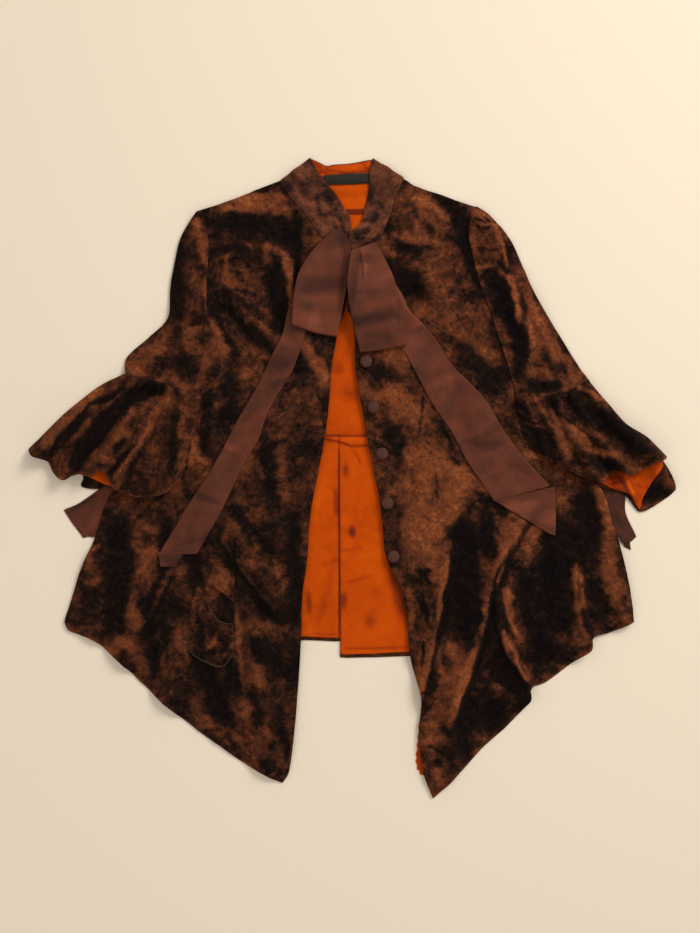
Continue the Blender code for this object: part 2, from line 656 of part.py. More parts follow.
def lay_under_sleeves(velvet, coat, table):
    """The under half of each sleeve, flat on the table beside the back."""
    for side, outer, inner, gather in (
        ("right", SLEEVE_OUTER_RIGHT, SLEEVE_INNER_RIGHT, GATHER_RIGHT),
        ("left", SLEEVE_OUTER_LEFT, SLEEVE_INNER_LEFT, GATHER_LEFT),
    ):
        outer = moved_in(outer, SEAM_ROLL / 2)
        edges = {"left": outer, "right": inner} if side == "right" else {"left": inner, "right": outer}
        edges["top"] = [edges["left"][0], edges["right"][0]]
        edges["bottom"] = [edges["left"][-1], *gather[1:-1], edges["right"][-1]]
        lay(f"under_sleeve_{side}", edges, (5, 12), VELVET_WALL, velvet, coat, table)


def lay_fronts(velvet, coat, table):
    """The two fronts, which reach past the back in long points."""
    right = {"top": SHOULDER_RIGHT, "left": SIDE_RIGHT, "bottom": HEM_RIGHT, "right": EDGE_RIGHT}
    left = {"top": SHOULDER_LEFT, "left": EDGE_LEFT, "bottom": HEM_LEFT, "right": SIDE_LEFT}
    for name, edges, folds, seams in (
        ("front_right", right, FOLDS_FRONT_RIGHT, [SHOULDER_RIGHT, SIDE_RIGHT, HEM_RIGHT]),
        ("front_left", left, FOLDS_FRONT_LEFT, [SHOULDER_LEFT, SIDE_LEFT, HEM_LEFT]),
    ):
        lay(name, edges, (18, 36), VELVET_WALL, velvet, coat, table, folds, (seams, BODY_PUFF))


def lay_sleeves(velvet, coat, table):
    """The upper half of each sleeve, lapped on the front at the armhole."""
    for side, outer, inner, gather, folds in (
        ("right", SLEEVE_OUTER_RIGHT, SLEEVE_INNER_RIGHT, GATHER_RIGHT, FOLDS_SLEEVE_RIGHT),
        ("left", SLEEVE_OUTER_LEFT, SLEEVE_INNER_LEFT, GATHER_LEFT, FOLDS_SLEEVE_LEFT),
    ):
        edges = {"left": outer, "right": inner} if side == "right" else {"left": inner, "right": outer}
        edges["top"] = [edges["left"][0], edges["right"][0]]
        edges["bottom"] = [edges["left"][-1], *gather[1:-1], edges["right"][-1]]
        air = ([outer, inner], SLEEVE_PUFF)
        lay(f"sleeve_{side}", edges, (8, 16), VELVET_WALL, velvet, coat, table, folds, air)


def lay_flounces(velvet, silk, coat, table):
    """Each flounce: under layer, lining and upper layer, gathered at the sleeve's end."""
    lay("flounce_under_right", FLOUNCE_UNDER_RIGHT, (13, 5), VELVET_WALL, velvet, coat, table)
    lay("flounce_lining_right", FLOUNCE_LINING_RIGHT, (12, 4), SILK_WALL, silk, coat, table)
    lay(
        "flounce_right", FLOUNCE_RIGHT, (34, 7), VELVET_WALL, velvet, coat, table,
        FOLDS_FLOUNCE_RIGHT, flounce_air(FLOUNCE_RIGHT),
    )
    lay(
        "flounce_under_left", FLOUNCE_UNDER_LEFT, (12, 6), VELVET_WALL, velvet, coat, table,
        FOLDS_UNDER_LEFT,
    )
    lay("flounce_lining_left", FLOUNCE_LINING_LEFT, (10, 5), SILK_WALL, silk, coat, table)
    lay(
        "flounce_left", FLOUNCE_LEFT, (24, 7), VELVET_WALL, velvet, coat, table,
        FOLDS_FLOUNCE_LEFT, flounce_air(FLOUNCE_LEFT),
    )


def flounce_air(edges):
    """A flounce stands up between its sides, from the gathered end to the open hem."""
    return [edges["top"], edges["left"], edges["right"]], FLOUNCE_PUFF


def lay_bow(ribbon, coat, table):
    """The tails of the bow on the fronts, and its two loops over them."""
    lay("tail_right", TAIL_RIGHT, (3, 18), RIBBON_WALL, ribbon, coat, table)
    lay("tail_left", TAIL_LEFT, (4, 18), RIBBON_WALL, ribbon, coat, table)
    lay("tail_end_right", TAIL_END_RIGHT, (3, 2), RIBBON_WALL, ribbon, coat, table)
    lay("tail_end_left", TAIL_END_LEFT, (4, 4), RIBBON_WALL, ribbon, coat, table)
    fold_back("loop_right", LOOP_RIGHT, (4, 8), 10.0, ribbon, coat, table)
    fold_back("loop_left", LOOP_LEFT, (4, 8), 10.0, ribbon, coat, table)


def main():
    clear_scene()
    coat = bpy.data.collections.new("velvet coat")
    bpy.context.scene.collection.children.link(coat)
    velvet = material("velvet", VELVET, 0.85)
    silk = material("orange silk", ORANGE_SILK, 0.45)
    ribbon = material("brown silk ribbon", BROWN_SILK, 0.55)
    weave = material("black woven label", BLACK_WEAVE, 0.80)
    table = Table()
    lay_back(velvet, coat, table)
    lay_lining(silk, weave, ribbon, coat, table)
    lay_under_sleeves(velvet, coat, table)
    lay("cuff_ribbon_right", CUFF_RIBBON_RIGHT, (6, 5), RIBBON_WALL, ribbon, coat, table)
    lay("cuff_ribbon_left_end", CUFF_RIBBON_LEFT_END, (2, 2), RIBBON_WALL, ribbon, coat, table)
    lay("cuff_ribbon_left", CUFF_RIBBON_LEFT, (5, 7), RIBBON_WALL, ribbon, coat, table)
    lay_fronts(velvet, coat, table)
    lay("pocket", POCKET, (8, 7), VELVET_WALL, velvet, coat, table)
    lay("pocket_flap", POCKET_FLAP, (4, 4), VELVET_WALL, velvet, coat, table)
    lay_sleeves(velvet, coat, table)
    lay_flounces(velvet, silk, coat, table)
    lay(
        "collar_front_right", COLLAR_FRONT_RIGHT, (4, 11), VELVET_WALL, velvet, coat, table,
        FOLDS_COLLAR_RIGHT,
    )
    lay(
        "collar_front_left", COLLAR_FRONT_LEFT, (4, 11), VELVET_WALL, velvet, coat, table,
        FOLDS_COLLAR_LEFT,
    )
    button = button_mesh(ribbon)
    for number, place in enumerate(BUTTONS, start=1):
        add_button(f"button_{number}", button, place, coat, table)
    lay_bow(ribbon, coat, table)


main()
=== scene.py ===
"""A woman's short velvet coat of about 1895, laid flat on a pale table with its fronts up.

Tables are in millimetres on the laid coat: "across" runs from the middle to the wearer's left,
which is +X, and "down" runs from the top of the collar to the hem, which is -Y. "Right" and
"left" in a piece's name are the wearer's; as the name of a patch's edge they are the viewer's.
Each piece of cloth is a thin shell on a grid, laid on what lies under it, one after the other.
"""

import bpy
import numpy as np
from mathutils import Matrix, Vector


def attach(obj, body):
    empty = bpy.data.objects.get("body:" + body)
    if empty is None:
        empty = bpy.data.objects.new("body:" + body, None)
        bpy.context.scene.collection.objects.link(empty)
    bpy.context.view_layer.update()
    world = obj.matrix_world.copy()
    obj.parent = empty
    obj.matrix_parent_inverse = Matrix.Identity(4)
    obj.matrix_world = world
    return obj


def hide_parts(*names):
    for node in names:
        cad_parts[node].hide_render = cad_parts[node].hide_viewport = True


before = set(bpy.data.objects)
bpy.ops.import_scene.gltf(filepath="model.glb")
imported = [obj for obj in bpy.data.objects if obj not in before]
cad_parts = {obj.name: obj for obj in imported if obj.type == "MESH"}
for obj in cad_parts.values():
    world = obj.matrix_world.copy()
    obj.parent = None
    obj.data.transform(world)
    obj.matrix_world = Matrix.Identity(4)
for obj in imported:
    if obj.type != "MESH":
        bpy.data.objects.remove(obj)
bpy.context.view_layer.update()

MM = 0.001

# Driving sizes, in millimetres.
MIDDLE_DOWN = 482.0  # "down" of the coat's middle, which is the frame's origin
MIDDLE_ACROSS = 0.0
VELVET_WALL = 1.9
SILK_WALL = 0.8
RIBBON_WALL = 0.8
SEAM_GAP = 0.5  # air between a layer and the one that it lies on
SEAM_ROLL = 4.0  # how far the upper layer's edge stands past the lower one's
SEAM_STEP = 0.3  # what still stands up of a sewn edge
SEAM_REACH = 9.0  # how far from a sewn edge its layer is drawn down
BODY_PUFF = 4.0  # air between back and fronts, away from the seams
SLEEVE_PUFF = 9.0
FLOUNCE_PUFF = 9.0
PUFF_REACH = 55.0  # how far from the seams that air is at its full height
HEM_RIM = 4.5  # width of the painted highlight along a hem
EDGE_WANDER = 0.9  # how far an edge strays from its line
BUTTON_RADIUS = 9.2
BUTTON_HEIGHT = 5.0
BUTTON_SEAT = 0.3  # air under a button
PIPING_RADIUS = 0.8
PIPING_RISE = 0.1  # height of the piping's middle over what it lies on

# A fold that lies over its neighbour, in millimetres.
LAP_REACH = 16.0  # how far behind its edge it starts to rise
LAP_DROP = 4.5  # width of the drop beyond its edge
LAP_LIGHT = 6.0  # width of the painted highlight on its edge
LAP_SHADE = 15.0  # width of the painted shadow beside it
LAP_BLEND = 2.5  # how far the painted highlight and shadow run into each other

# The ribbon's loops.
LOOP_LOFT = 10.0  # millimetres that the upper layer rises
LOOP_ARCH = (0.1, 0.76)  # where its arch starts, and how much of it is used, in half turns
LOOP_GAP = 2.4  # from layer to layer at the start, in walls
LOOP_LEAST = 2.0  # and everywhere at least
LOOP_TURN = 9  # rows in the turn at the lower end
LOOP_ROUND = 0.8  # how far the turn stands out, in its radius
LOOP_INSET = 0.96  # width of the layer underneath

# Rims, in half walls.
RIM_ROLL = 0.9  # how far a wall's rim stands out
RIM_DROP = 0.55  # half the height of its two faces there

# The height map of what is laid so far, in millimetres, and its cells.
CELL = 2.0
FIRST_ACROSS = -540.0
FIRST_DOWN = -40.0
CELLS_ACROSS = 540
CELLS_DOWN = 530
ROUNDING = 1e-9  # keeps the last row of a grid when it is filled in
TINY = 1e-12

# Steps of curves.
CURVE_STEPS = 13  # from knot to knot
NEAR_POINTS = 70  # of a line to which distances are measured
LAP_POINTS = 70
PIPING_POINTS = 110
PIPING_STEPS = 10
BUTTON_STEPS = 40

# How noise pushes a pattern about. Columns: millimetres, size of the noise, seed.
MARK_STIR = (3.6, 36, 21)
FINE_STIR = (1.5, 11, 27)
LAP_STIR = (2.5, 40, 25)
FOLD_STIR = (5.0, 60, 31)
CREASE_STIR = (9.0, 50, 61)
STREAK_STIR = (6.0, 40, 91)
BLOT_STIR = (7.0, 30, 121)
VEIN_STIR = (5.0, 24, 101)
SPECK_STIR = (4.0, 20, 141)
LOOP_STIR = (2.0, 30, 11)
STIR_LAYERS = 3
STIR_SEED_STEP = 40  # from the seed of the push across to that of the push down

# Noise. Columns: size in millimetres, seed, layers and, after them, how fast they fade.
EDGE_NOISE = [(70, 5, 3), (70, 9, 3)]  # across, down
CLOUDS = (70, 81, 3, 0.6)
BLOTS = (30, 125, 4, 0.75)
SPECKS = (13, 145, 2, 0.9)
VEINS = (24, 105, 3)
VEIN_PATCHES = (80, 111, 2)
STREAKS = (95, 4, 0.7)  # their size is each piece's own
CREASE_SEED = 71
NOISE_CELLS = 128
LAYER_TURNS = (0.7, 1.1)  # radians: the first layer's, and what each next one adds
CRUSH_TURNS = (0.4, 0.9)
CRUSH_SHARPNESS = 1.6
CRUSH_SHRINK = 1.9

# Tones. A tone runs from 0, where the pile lies dark, to 1, where it lies light.
CLOUD_TONE = 0.10
STREAK_TONE = 0.12
BARE_STREAKS = 0.3  # share of the streaks on cloth without pile
BLOT_TONE = 0.11
SPECK_TONE = 0.06
# painted shade in thin creases of the crushed pile
VEIN_SHADE = 0.30
# painted highlight along a hem, strongest at its edge
HEM_HIGHLIGHT = 0.3
TONE_MIDDLE = 0.48  # tones are eased off on both sides of this one
TONE_REACH = 0.42
SLOPE_LIGHT = 0.7  # painted light on a surface that faces the neck's side, painted shade on one facing away
SLOPE_SIDE = 0.3  # and painted light on one that faces the wearer's right, as a share of it
MARK_POWER = 2.6  # how flat the top of a mark's bell is
MARK_ENDS = (1.15, 0.6)
MARK_RELIEF = 0.20  # millimetres of height to a tone of 1, for each millimetre of width
MARK_WIDEST = 10  # width past which a mark rises no more
PLAIN_RELIEF = 0.35  # share of that relief on cloth that isn't crushed

# Seam lines and edges. A patch has the four edges "top", "left", "bottom" and "right". Top and
# bottom run to the viewer's right, and left and right run down. Columns: across, down.
SHOULDER_RIGHT = [(-230, 81), (-183, 65), (-135, 45), (-106, 35)]
SHOULDER_LEFT = [(75, 32), (99, 45), (140, 59), (183, 75)]
SIDE_RIGHT = [
    (-230, 81), (-220, 124), (-222, 184), (-220, 241), (-204, 286), (-210, 322), (-235, 364),
    (-295, 432), (-358, 500), (-387, 576), (-407, 620), (-424, 674), (-432, 698),
]
SIDE_LEFT = [
    (183, 75), (179, 117), (189, 162), (203, 207), (221, 260), (236, 305), (246, 353),
    (282, 402), (335, 455), (375, 503), (390, 552), (402, 590), (417, 650), (423, 698),
]
HEM_RIGHT = [
    (-432, 698), (-426, 710), (-406, 718), (-386, 726), (-352, 754), (-321, 784), (-282, 820),
    (-238, 855), (-202, 882), (-165, 908), (-129, 928), (-104, 940),
]
HEM_LEFT = [
    (122, 963), (150, 936), (173, 912), (198, 885), (231, 855), (266, 817), (267, 797),
    (290, 788), (318, 768), (338, 752), (358, 738), (360, 721), (387, 713), (423, 698),
]
EDGE_RIGHT = [
    (-106, 35), (-92, 56), (-70, 82), (-48, 112), (-27, 138), (-4, 143), (-7, 200), (-12, 229),
    (-19, 252), (-30, 308), (-36, 380), (-45, 441), (-62, 534), (-68, 603), (-75, 654),
    (-77, 723), (-83, 815), (-93, 914), (-104, 940),
]
EDGE_LEFT = [
    (75, 32), (63, 53), (54, 83), (39, 119), (24, 138), (2, 143), (-2, 200), (-6, 229),
    (2, 250), (7, 318), (16, 376), (24, 423), (33, 468), (44, 528), (51, 594), (71, 642),
    (81, 676), (87, 747), (98, 788), (104, 816), (101, 856), (102, 888), (107, 915), (109, 929),
    (122, 963),
]
FRAYED_LINING = {
    "top": [(101, 849), (114, 850)],
    "left": [
        (101, 849), (100, 857), (100.5, 864), (99, 871), (99.6, 877), (97.8, 884), (98.6, 889),
        (96.2, 897), (97.2, 903), (95.8, 908), (98, 913), (98, 919), (101.5, 922), (102.5, 927),
        (107, 929),
    ],
    "bottom": [(107, 929), (119, 930)],
    "right": [(114, 850), (116, 872), (117, 890), (119, 912), (119, 930)],
}
BACK_NECK_RIGHT = [(-106, 35), (-78, 42), (-48, 47), (-17.2, 48)]
BACK_NECK_LEFT = [(-16.8, 48), (12, 48), (44, 43), (75, 32)]
BACK_HEM_RIGHT = [(-428, 698), (-300, 722), (-78, 725), (-17.2, 727)]
BACK_HEM_LEFT = [(-16.8, 751), (87, 749), (250, 738), (380, 712), (419, 698)]
BACK_SEAM_RIGHT = [(-17.2, 48), (-17.2, 380), (-17.2, 727)]
BACK_SEAM_LEFT = [(-16.8, 48), (-16.8, 380), (-16.8, 751)]
SLEEVE_OUTER_RIGHT = [
    (-233, 82), (-248, 104), (-258, 125), (-266, 158), (-273, 200), (-276, 242), (-303, 269),
    (-337, 301), (-339, 328),
]
SLEEVE_INNER_RIGHT = [
    (-226, 80), (-217, 124), (-219, 184), (-217, 241), (-200, 287), (-200, 326), (-228, 364),
]
SLEEVE_OUTER_LEFT = [
    (190, 76), (210, 91), (237, 124), (255, 162), (272, 200), (296, 242), (321, 282),
    (342, 317), (357, 338),
]
SLEEVE_INNER_LEFT = [
    (180, 75), (176, 117), (186, 162), (200, 207), (218, 260), (233, 305), (243, 340), (248, 365),
]
GATHER_RIGHT = [(-339, 328), (-303, 338), (-267, 349), (-228, 364)]
GATHER_LEFT = [(248, 365), (290, 362), (324, 354), (357, 338)]

# Flounces: gathered end, the two sides and the hem. Columns: across, down.
FLOUNCE_RIGHT = {
    "top": [(-341, 326), (-303, 335), (-266, 346), (-226, 361)],
    "left": [(-341, 326), (-378, 343), (-416, 372), (-453, 406), (-486, 438)],
    "bottom": [
        (-486, 438), (-476, 448), (-455, 456), (-446, 473), (-429, 484), (-418, 478),
        (-405, 475), (-388, 478), (-373, 470), (-363, 484), (-351, 498), (-318, 510),
        (-280, 505), (-255, 485),
    ],
    "right": [(-226, 361), (-236, 410), (-246, 452), (-255, 485)],
}
FLOUNCE_UNDER_RIGHT = {
    "top": [(-338, 325), (-303, 335), (-268, 344), (-240, 360)],
    "left": [(-338, 325), (-376, 344), (-413, 376), (-450, 408), (-478, 438)],
    "bottom": [
        (-478, 438), (-452, 455), (-430, 465), (-410, 470), (-403, 480), (-406, 493), (-384, 497),
        (-358, 495), (-325, 500), (-264, 490),
    ],
    "right": [(-240, 360), (-246, 410), (-254, 452), (-264, 490)],
}
FLOUNCE_LINING_RIGHT = {
    "top": [(-336, 334), (-303, 344), (-268, 353), (-243, 369)],
    "left": [(-336, 334), (-374, 349), (-411, 378), (-447, 410), (-470, 437)],
    "bottom": [(-470, 437), (-438, 459), (-392, 480), (-362, 493), (-325, 495), (-270, 484)],
    "right": [(-243, 369), (-250, 410), (-260, 450), (-270, 484)],
}
FLOUNCE_LEFT = {
    "top": [(246, 362), (290, 359), (324, 351), (354, 336)],
    "left": [(246, 362), (262, 422), (296, 456), (330, 474), (368, 490)],
    "bottom": [(368, 490), (392, 471), (412, 478), (440, 464), (470, 450)],
    "right": [(354, 336), (367, 351), (408, 399), (441, 420), (470, 450)],
}
FLOUNCE_UNDER_LEFT = {
    "top": [(250, 362), (290, 359), (324, 351), (351, 338)],
    "left": [(250, 362), (268, 424), (300, 457), (334, 478), (370, 493)],
    "bottom": [(370, 493), (390, 500), (415, 509), (433, 532), (472, 512), (486, 500)],
    "right": [(351, 338), (403, 401), (438, 422), (474, 468), (486, 500)],
}
FLOUNCE_LINING_LEFT = {
    "top": [(252, 373), (290, 369), (324, 361), (354, 346)],
    "left": [(252, 373), (274, 425), (307, 456), (341, 475), (372, 490)],
    "bottom": [(372, 490), (391, 498), (415, 506), (431, 528), (436, 512), (450, 487)],
    "right": [(354, 346), (400, 402), (434, 424), (464, 458), (450, 487)],
}

# Ridges of cloth. Columns: start across, start down, end across, end down, half width at the
# start and at the end, height at the start and at the end, bend of the middle to the left, and
# lean: 0 is even, and above 0 the ridge is long on its left and steep on its right.
FOLDS_FRONT_RIGHT = [
    (-128, 118, -82, 240, 24, 28, 5, 7, 8, 0.0),
    (-190, 200, -112, 290, 26, 28, 6, 7, -6, 0.0),
    (-78, 255, -60, 425, 24, 28, 5, 6, -8, 0.0),
    (-206, 300, -205, 545, 28, 30, 7, 8, 8, 0.0),
    (-252, 365, -268, 590, 26, 30, 8, 7, -6, 0.0),
    (-285, 600, -320, 705, 22, 26, 6, 7, 0, 0.4),
    (-184, 531, -104, 672, 26, 28, 6, 11, 8, 0.0),
    (-322, 690, -352, 760, 28, 30, 6, 12, 4, 0.0),
    (-222, 680, -282, 835, 28, 34, 5, 11, 6, 0.0),
    (-140, 710, -132, 915, 28, 32, 5, 9, -8, 0.0),
    (-395, 600, -392, 730, 24, 26, 4, 7, 0, 0.0),
    (-122, 400, -135, 540, 24, 26, 5, 6, 5, 0.0),
]
FOLDS_FRONT_LEFT = [
    (96, 60, 146, 112, 24, 24, 4, 5, 0, 0.0),
    (98, 150, 150, 252, 26, 28, 5, 6, 8, 0.0),
    (160, 250, 196, 410, 26, 30, 5, 7, -6, 0.0),
    (82, 300, 74, 440, 24, 26, 4, 5, 4, 0.0),
    (118, 450, 92, 620, 28, 26, 6, 6, 6, 0.0),
    (146, 596, 104, 812, 22, 24, 7, 9, 8, -0.4),
    (252, 545, 204, 655, 26, 26, 9, 12, 6, 0.3),
    (204, 655, 150, 850, 26, 34, 12, 14, 4, 0.3),
    (214, 640, 266, 806, 24, 30, 8, 17, 6, 0.7),
    (150, 850, 142, 935, 30, 30, 9, 7, 0, 0.0),
    (306, 560, 314, 690, 28, 28, 7, 8, 0, 0.0),
    (338, 606, 360, 745, 24, 28, 8, 15, 4, 0.7),
    (378, 505, 410, 705, 24, 26, 6, 8, -6, 0.0),
]
FOLDS_SLEEVE_RIGHT = [
    (-236, 110, -238, 240, 16, 20, 5, 7, 4, 0.0),
    (-262, 220, -300, 318, 18, 22, 4, 7, -6, 0.0),
    (-232, 262, -252, 345, 18, 22, 5, 7, 0, 0.0),
]
FOLDS_SLEEVE_LEFT = [
    (200, 98, 238, 190, 20, 22, 6, 6, -6, 0.0),
    (234, 180, 254, 262, 18, 20, 7, 8, -4, 0.5),
    (262, 185, 300, 330, 20, 24, 5, 8, -6, 0.0),
    (245, 275, 268, 350, 18, 22, 4, 7, 4, 0.0),
]
FOLDS_FLOUNCE_RIGHT = [
    (-335, 328, -476, 452, 7, 19, 3, 22, 0, 0.0),
    (-318, 332, -434, 486, 7, 19, 3, 17, -4, 0.3),
    (-300, 337, -396, 482, 7, 17, 3, 14, -4, 0.0),
    (-285, 341, -352, 502, 7, 15, 3, 10, -4, 0.3),
    (-270, 346, -322, 515, 7, 15, 3, 8, 0, 0.0),
    (-256, 352, -290, 512, 6, 14, 3, 8, 0, 0.0),
    (-244, 358, -262, 492, 6, 12, 3, 6, 0, 0.0),
]
FOLDS_FLOUNCE_LEFT = [
    (350, 338, 455, 462, 8, 22, 4, 20, 6, 0.0),
    (330, 349, 414, 484, 8, 18, 4, 18, 4, 0.3),
    (305, 357, 376, 494, 8, 16, 4, 15, 4, 0.0),
    (282, 360, 338, 480, 7, 14, 4, 9, 4, 0.0),
    (260, 362, 300, 462, 7, 12, 3, 7, 0, 0.0),
]
FOLDS_UNDER_LEFT = [(352, 345, 482, 494, 8, 16, 1, 12, 0, 0.0)]

# Collar, lining and small pieces. Columns: across, down.
COLLAR_BACK = {
    "top": [(-62, 2), (-48, 8), (-38, 12), (-26, 10), (-11, 9), (3, 7), (20, 4), (30, 3)],
    "left": [(-62, 2), (-84, 19), (-106, 36)],
    "bottom": [(-106, 36), (-78, 44), (-17, 50), (44, 45), (75, 33)],
    "right": [(30, 3), (52, 17), (75, 33)],
}
COLLAR_LINING = {
    "top": [
        (-60, 4), (-47, 9.5), (-38, 13.5), (-26, 11.5), (-11, 10.5), (3, 8.5), (18, 6), (28, 5),
    ],
    "left": [(-60, 4), (-78, 20), (-96, 34)],
    "bottom": [(-96, 34), (-74, 38), (-17, 38), (40, 37), (66, 32)],
    "right": [(28, 5), (48, 18), (66, 32)],
}
COLLAR_FRONT_RIGHT = {
    "top": [(-108, 35), (-86, 19), (-63, 1)],
    "left": [(-108, 35), (-94, 57), (-72, 84), (-50, 114), (-30, 143)],
    "bottom": [(-30, 143), (-12, 136), (-1, 117)],
    "right": [
        (-63, 1), (-57, 13), (-47, 28), (-37, 41), (-22, 60), (-13, 75), (-4, 88), (-1, 101),
        (-1, 117),
    ],
}
COLLAR_FRONT_LEFT = {
    "top": [(31, 2), (53, 16), (77, 31)],
    "left": [(31, 2), (26, 21), (25, 39), (24, 57), (20, 76), (13, 99), (-3, 114)],
    "bottom": [(-3, 114), (-3, 132), (6, 147), (26, 148)],
    "right": [(77, 31), (66, 54), (57, 84), (43, 119), (26, 148)],
}
FOLDS_COLLAR_RIGHT = [(-86, 18, -18, 126, 14, 14, 5, 3, 0, 0.0)]
FOLDS_COLLAR_LEFT = [
    (54, 15, 16, 128, 14, 14, 5, 4, 0, 0.0),
    (60, 95, 22, 128, 10, 10, 3, 4, 0, 0.0),
]
LINING_BODICE = {
    "top": [(-90, 40), (-17, 36), (62, 38)],
    "left": [(-90, 40), (-88, 240), (-100, 424)],
    "bottom": [(-100, 424), (-10, 422), (80, 424)],
    "right": [(62, 38), (64, 240), (80, 424)],
}
LINING_SKIRT_RIGHT = {
    "top": [(-104, 419), (-60, 418), (-12, 418)],
    "left": [(-104, 419), (-128, 570), (-140, 720)],
    "bottom": [(-140, 720), (-78, 720), (-12, 722)],
    "right": [(-12, 418), (-12, 570), (-12, 722)],
}
LINING_SKIRT_LEFT = {
    "top": [(-18, 416), (30, 415), (84, 419)],
    "left": [(-18, 416), (-19, 570), (-17, 746)],
    "bottom": [(-17, 746), (40, 745), (150, 740)],
    "right": [(84, 419), (120, 570), (150, 740)],
}
LABEL = {
    "top": [(-42, 28), (-8, 25), (24, 24)],
    "left": [(-42, 28), (-38, 42)],
    "bottom": [(-38, 42), (-8, 41), (25, 39)],
    "right": [(24, 24), (25, 39)],
}
NECK_TAPE = {
    "top": [(-34, 79), (36, 78)],
    "left": [(-34, 79), (-34, 86)],
    "bottom": [(-34, 86), (36, 85)],
    "right": [(36, 78), (36, 85)],
}
POCKET = {
    "top": [(-232, 645), (-222, 655), (-213, 674), (-202, 692), (-190, 699), (-178, 700)],
    "left": [(-232, 645), (-241, 672), (-243, 704), (-243, 736)],
    "bottom": [(-243, 736), (-227, 753), (-201, 764), (-189, 760), (-178, 744)],
    "right": [(-178, 700), (-177, 722), (-178, 744)],
}
POCKET_FLAP = {
    "top": [(-207, 612), (-192, 616), (-177, 622)],
    "left": [(-207, 612), (-213, 626), (-218, 640)],
    "bottom": [(-218, 640), (-198, 650), (-177, 668)],
    "right": [(-177, 622), (-176, 645), (-177, 668)],
}

# Ribbons: their two long edges and their ends. Columns: across, down.
TAIL_RIGHT = {
    "top": [(-94, 226), (-62, 236)],
    "left": [
        (-94, 226), (-105, 268), (-123, 303), (-142, 343), (-174, 400), (-208, 466),
        (-246, 525), (-289, 595),
    ],
    "bottom": [(-289, 595), (-233, 595)],
    "right": [
        (-62, 236), (-74, 278), (-89, 319), (-102, 341), (-124, 381), (-142, 427),
        (-165, 466), (-189, 519), (-208, 553), (-233, 595),
    ],
}
TAIL_LEFT = {
    "top": [(32, 200), (60, 184)],
    "left": [
        (32, 200), (50, 250), (80, 295), (96, 324), (121, 370), (146, 408), (171, 453),
        (191, 483), (213, 517),
    ],
    "bottom": [(213, 517), (254, 505), (296, 494)],
    "right": [
        (60, 184), (76, 209), (86, 232), (107, 252), (129, 279), (151, 313), (197, 361),
        (220, 399), (247, 438), (296, 494),
    ],
}
TAIL_END_RIGHT = {
    "top": [(-290, 592), (-252, 592)],
    "left": [(-290, 592), (-286, 613)],
    "bottom": [(-286, 613), (-264, 614)],
    "right": [(-252, 592), (-264, 614)],
}
TAIL_END_LEFT = {
    "top": [(213, 516), (259, 505), (303, 496)],
    "left": [(213, 516), (256, 541), (297, 565)],
    "bottom": [(297, 565), (304, 567)],
    "right": [(303, 496), (305, 531), (304, 567)],
}
LOOP_RIGHT = {
    "top": [(-29, 109), (-20, 111), (-12, 115)],
    "left": [(-29, 109), (-37, 121), (-52, 135), (-77, 171), (-86, 209), (-89, 251)],
    "bottom": [(-89, 251), (-56, 262), (-22, 268)],
    "right": [(-12, 115), (-4, 129), (-2, 146), (-6, 186), (-11, 213), (-22, 268)],
}
LOOP_LEFT = {
    "top": [(-1, 144), (14, 138), (34, 130)],
    "left": [(-1, 144), (-6, 186), (-6, 205), (-1, 240), (12, 291)],
    "bottom": [(12, 291), (46, 287), (81, 281)],
    "right": [(34, 130), (42, 142), (61, 181), (68, 213), (79, 260), (81, 281)],
}
CUFF_RIBBON_RIGHT = {
    "top": [(-433, 530), (-406, 517), (-362, 484)],
    "left": [(-433, 530), (-419, 551), (-404, 572)],
    "bottom": [(-404, 572), (-396, 570), (-386, 571)],
    "right": [(-362, 484), (-358, 512), (-386, 571)],
}
CUFF_RIBBON_LEFT = {
    "top": [(352, 478), (385, 480), (412, 492)],
    "left": [(352, 478), (384, 544), (406, 580)],
    "bottom": [(406, 580), (417, 579), (427, 571)],
    "right": [(412, 492), (411, 533), (427, 571)],
}
CUFF_RIBBON_LEFT_END = {
    "top": [(404, 568), (415, 562)],
    "left": [(404, 568), (409, 585)],
    "bottom": [(409, 585), (419, 591)],
    "right": [(415, 562), (419, 591)],
}

# Buttons on the left front's edge. Columns: across, down.
BUTTONS = [(21, 307), (32, 375), (45, 445), (53, 519), (62, 599)]

# A covered button's outline. Columns: share of its radius, share of its height.
BUTTON_OUTLINE = [
    (0.02, 1.0), (0.25, 0.99), (0.5, 0.95), (0.7, 0.86), (0.85, 0.70), (0.95, 0.52), (1.0, 0.36),
    (0.99, 0.2), (0.93, 0.08), (0.84, 0.0), (0.4, 0.0), (0.02, 0.0),
]
BUTTON_TUCKS = 11
TUCK_DEPTH = 0.018
DIMPLES = 3
DIMPLE_DEPTH = 0.25
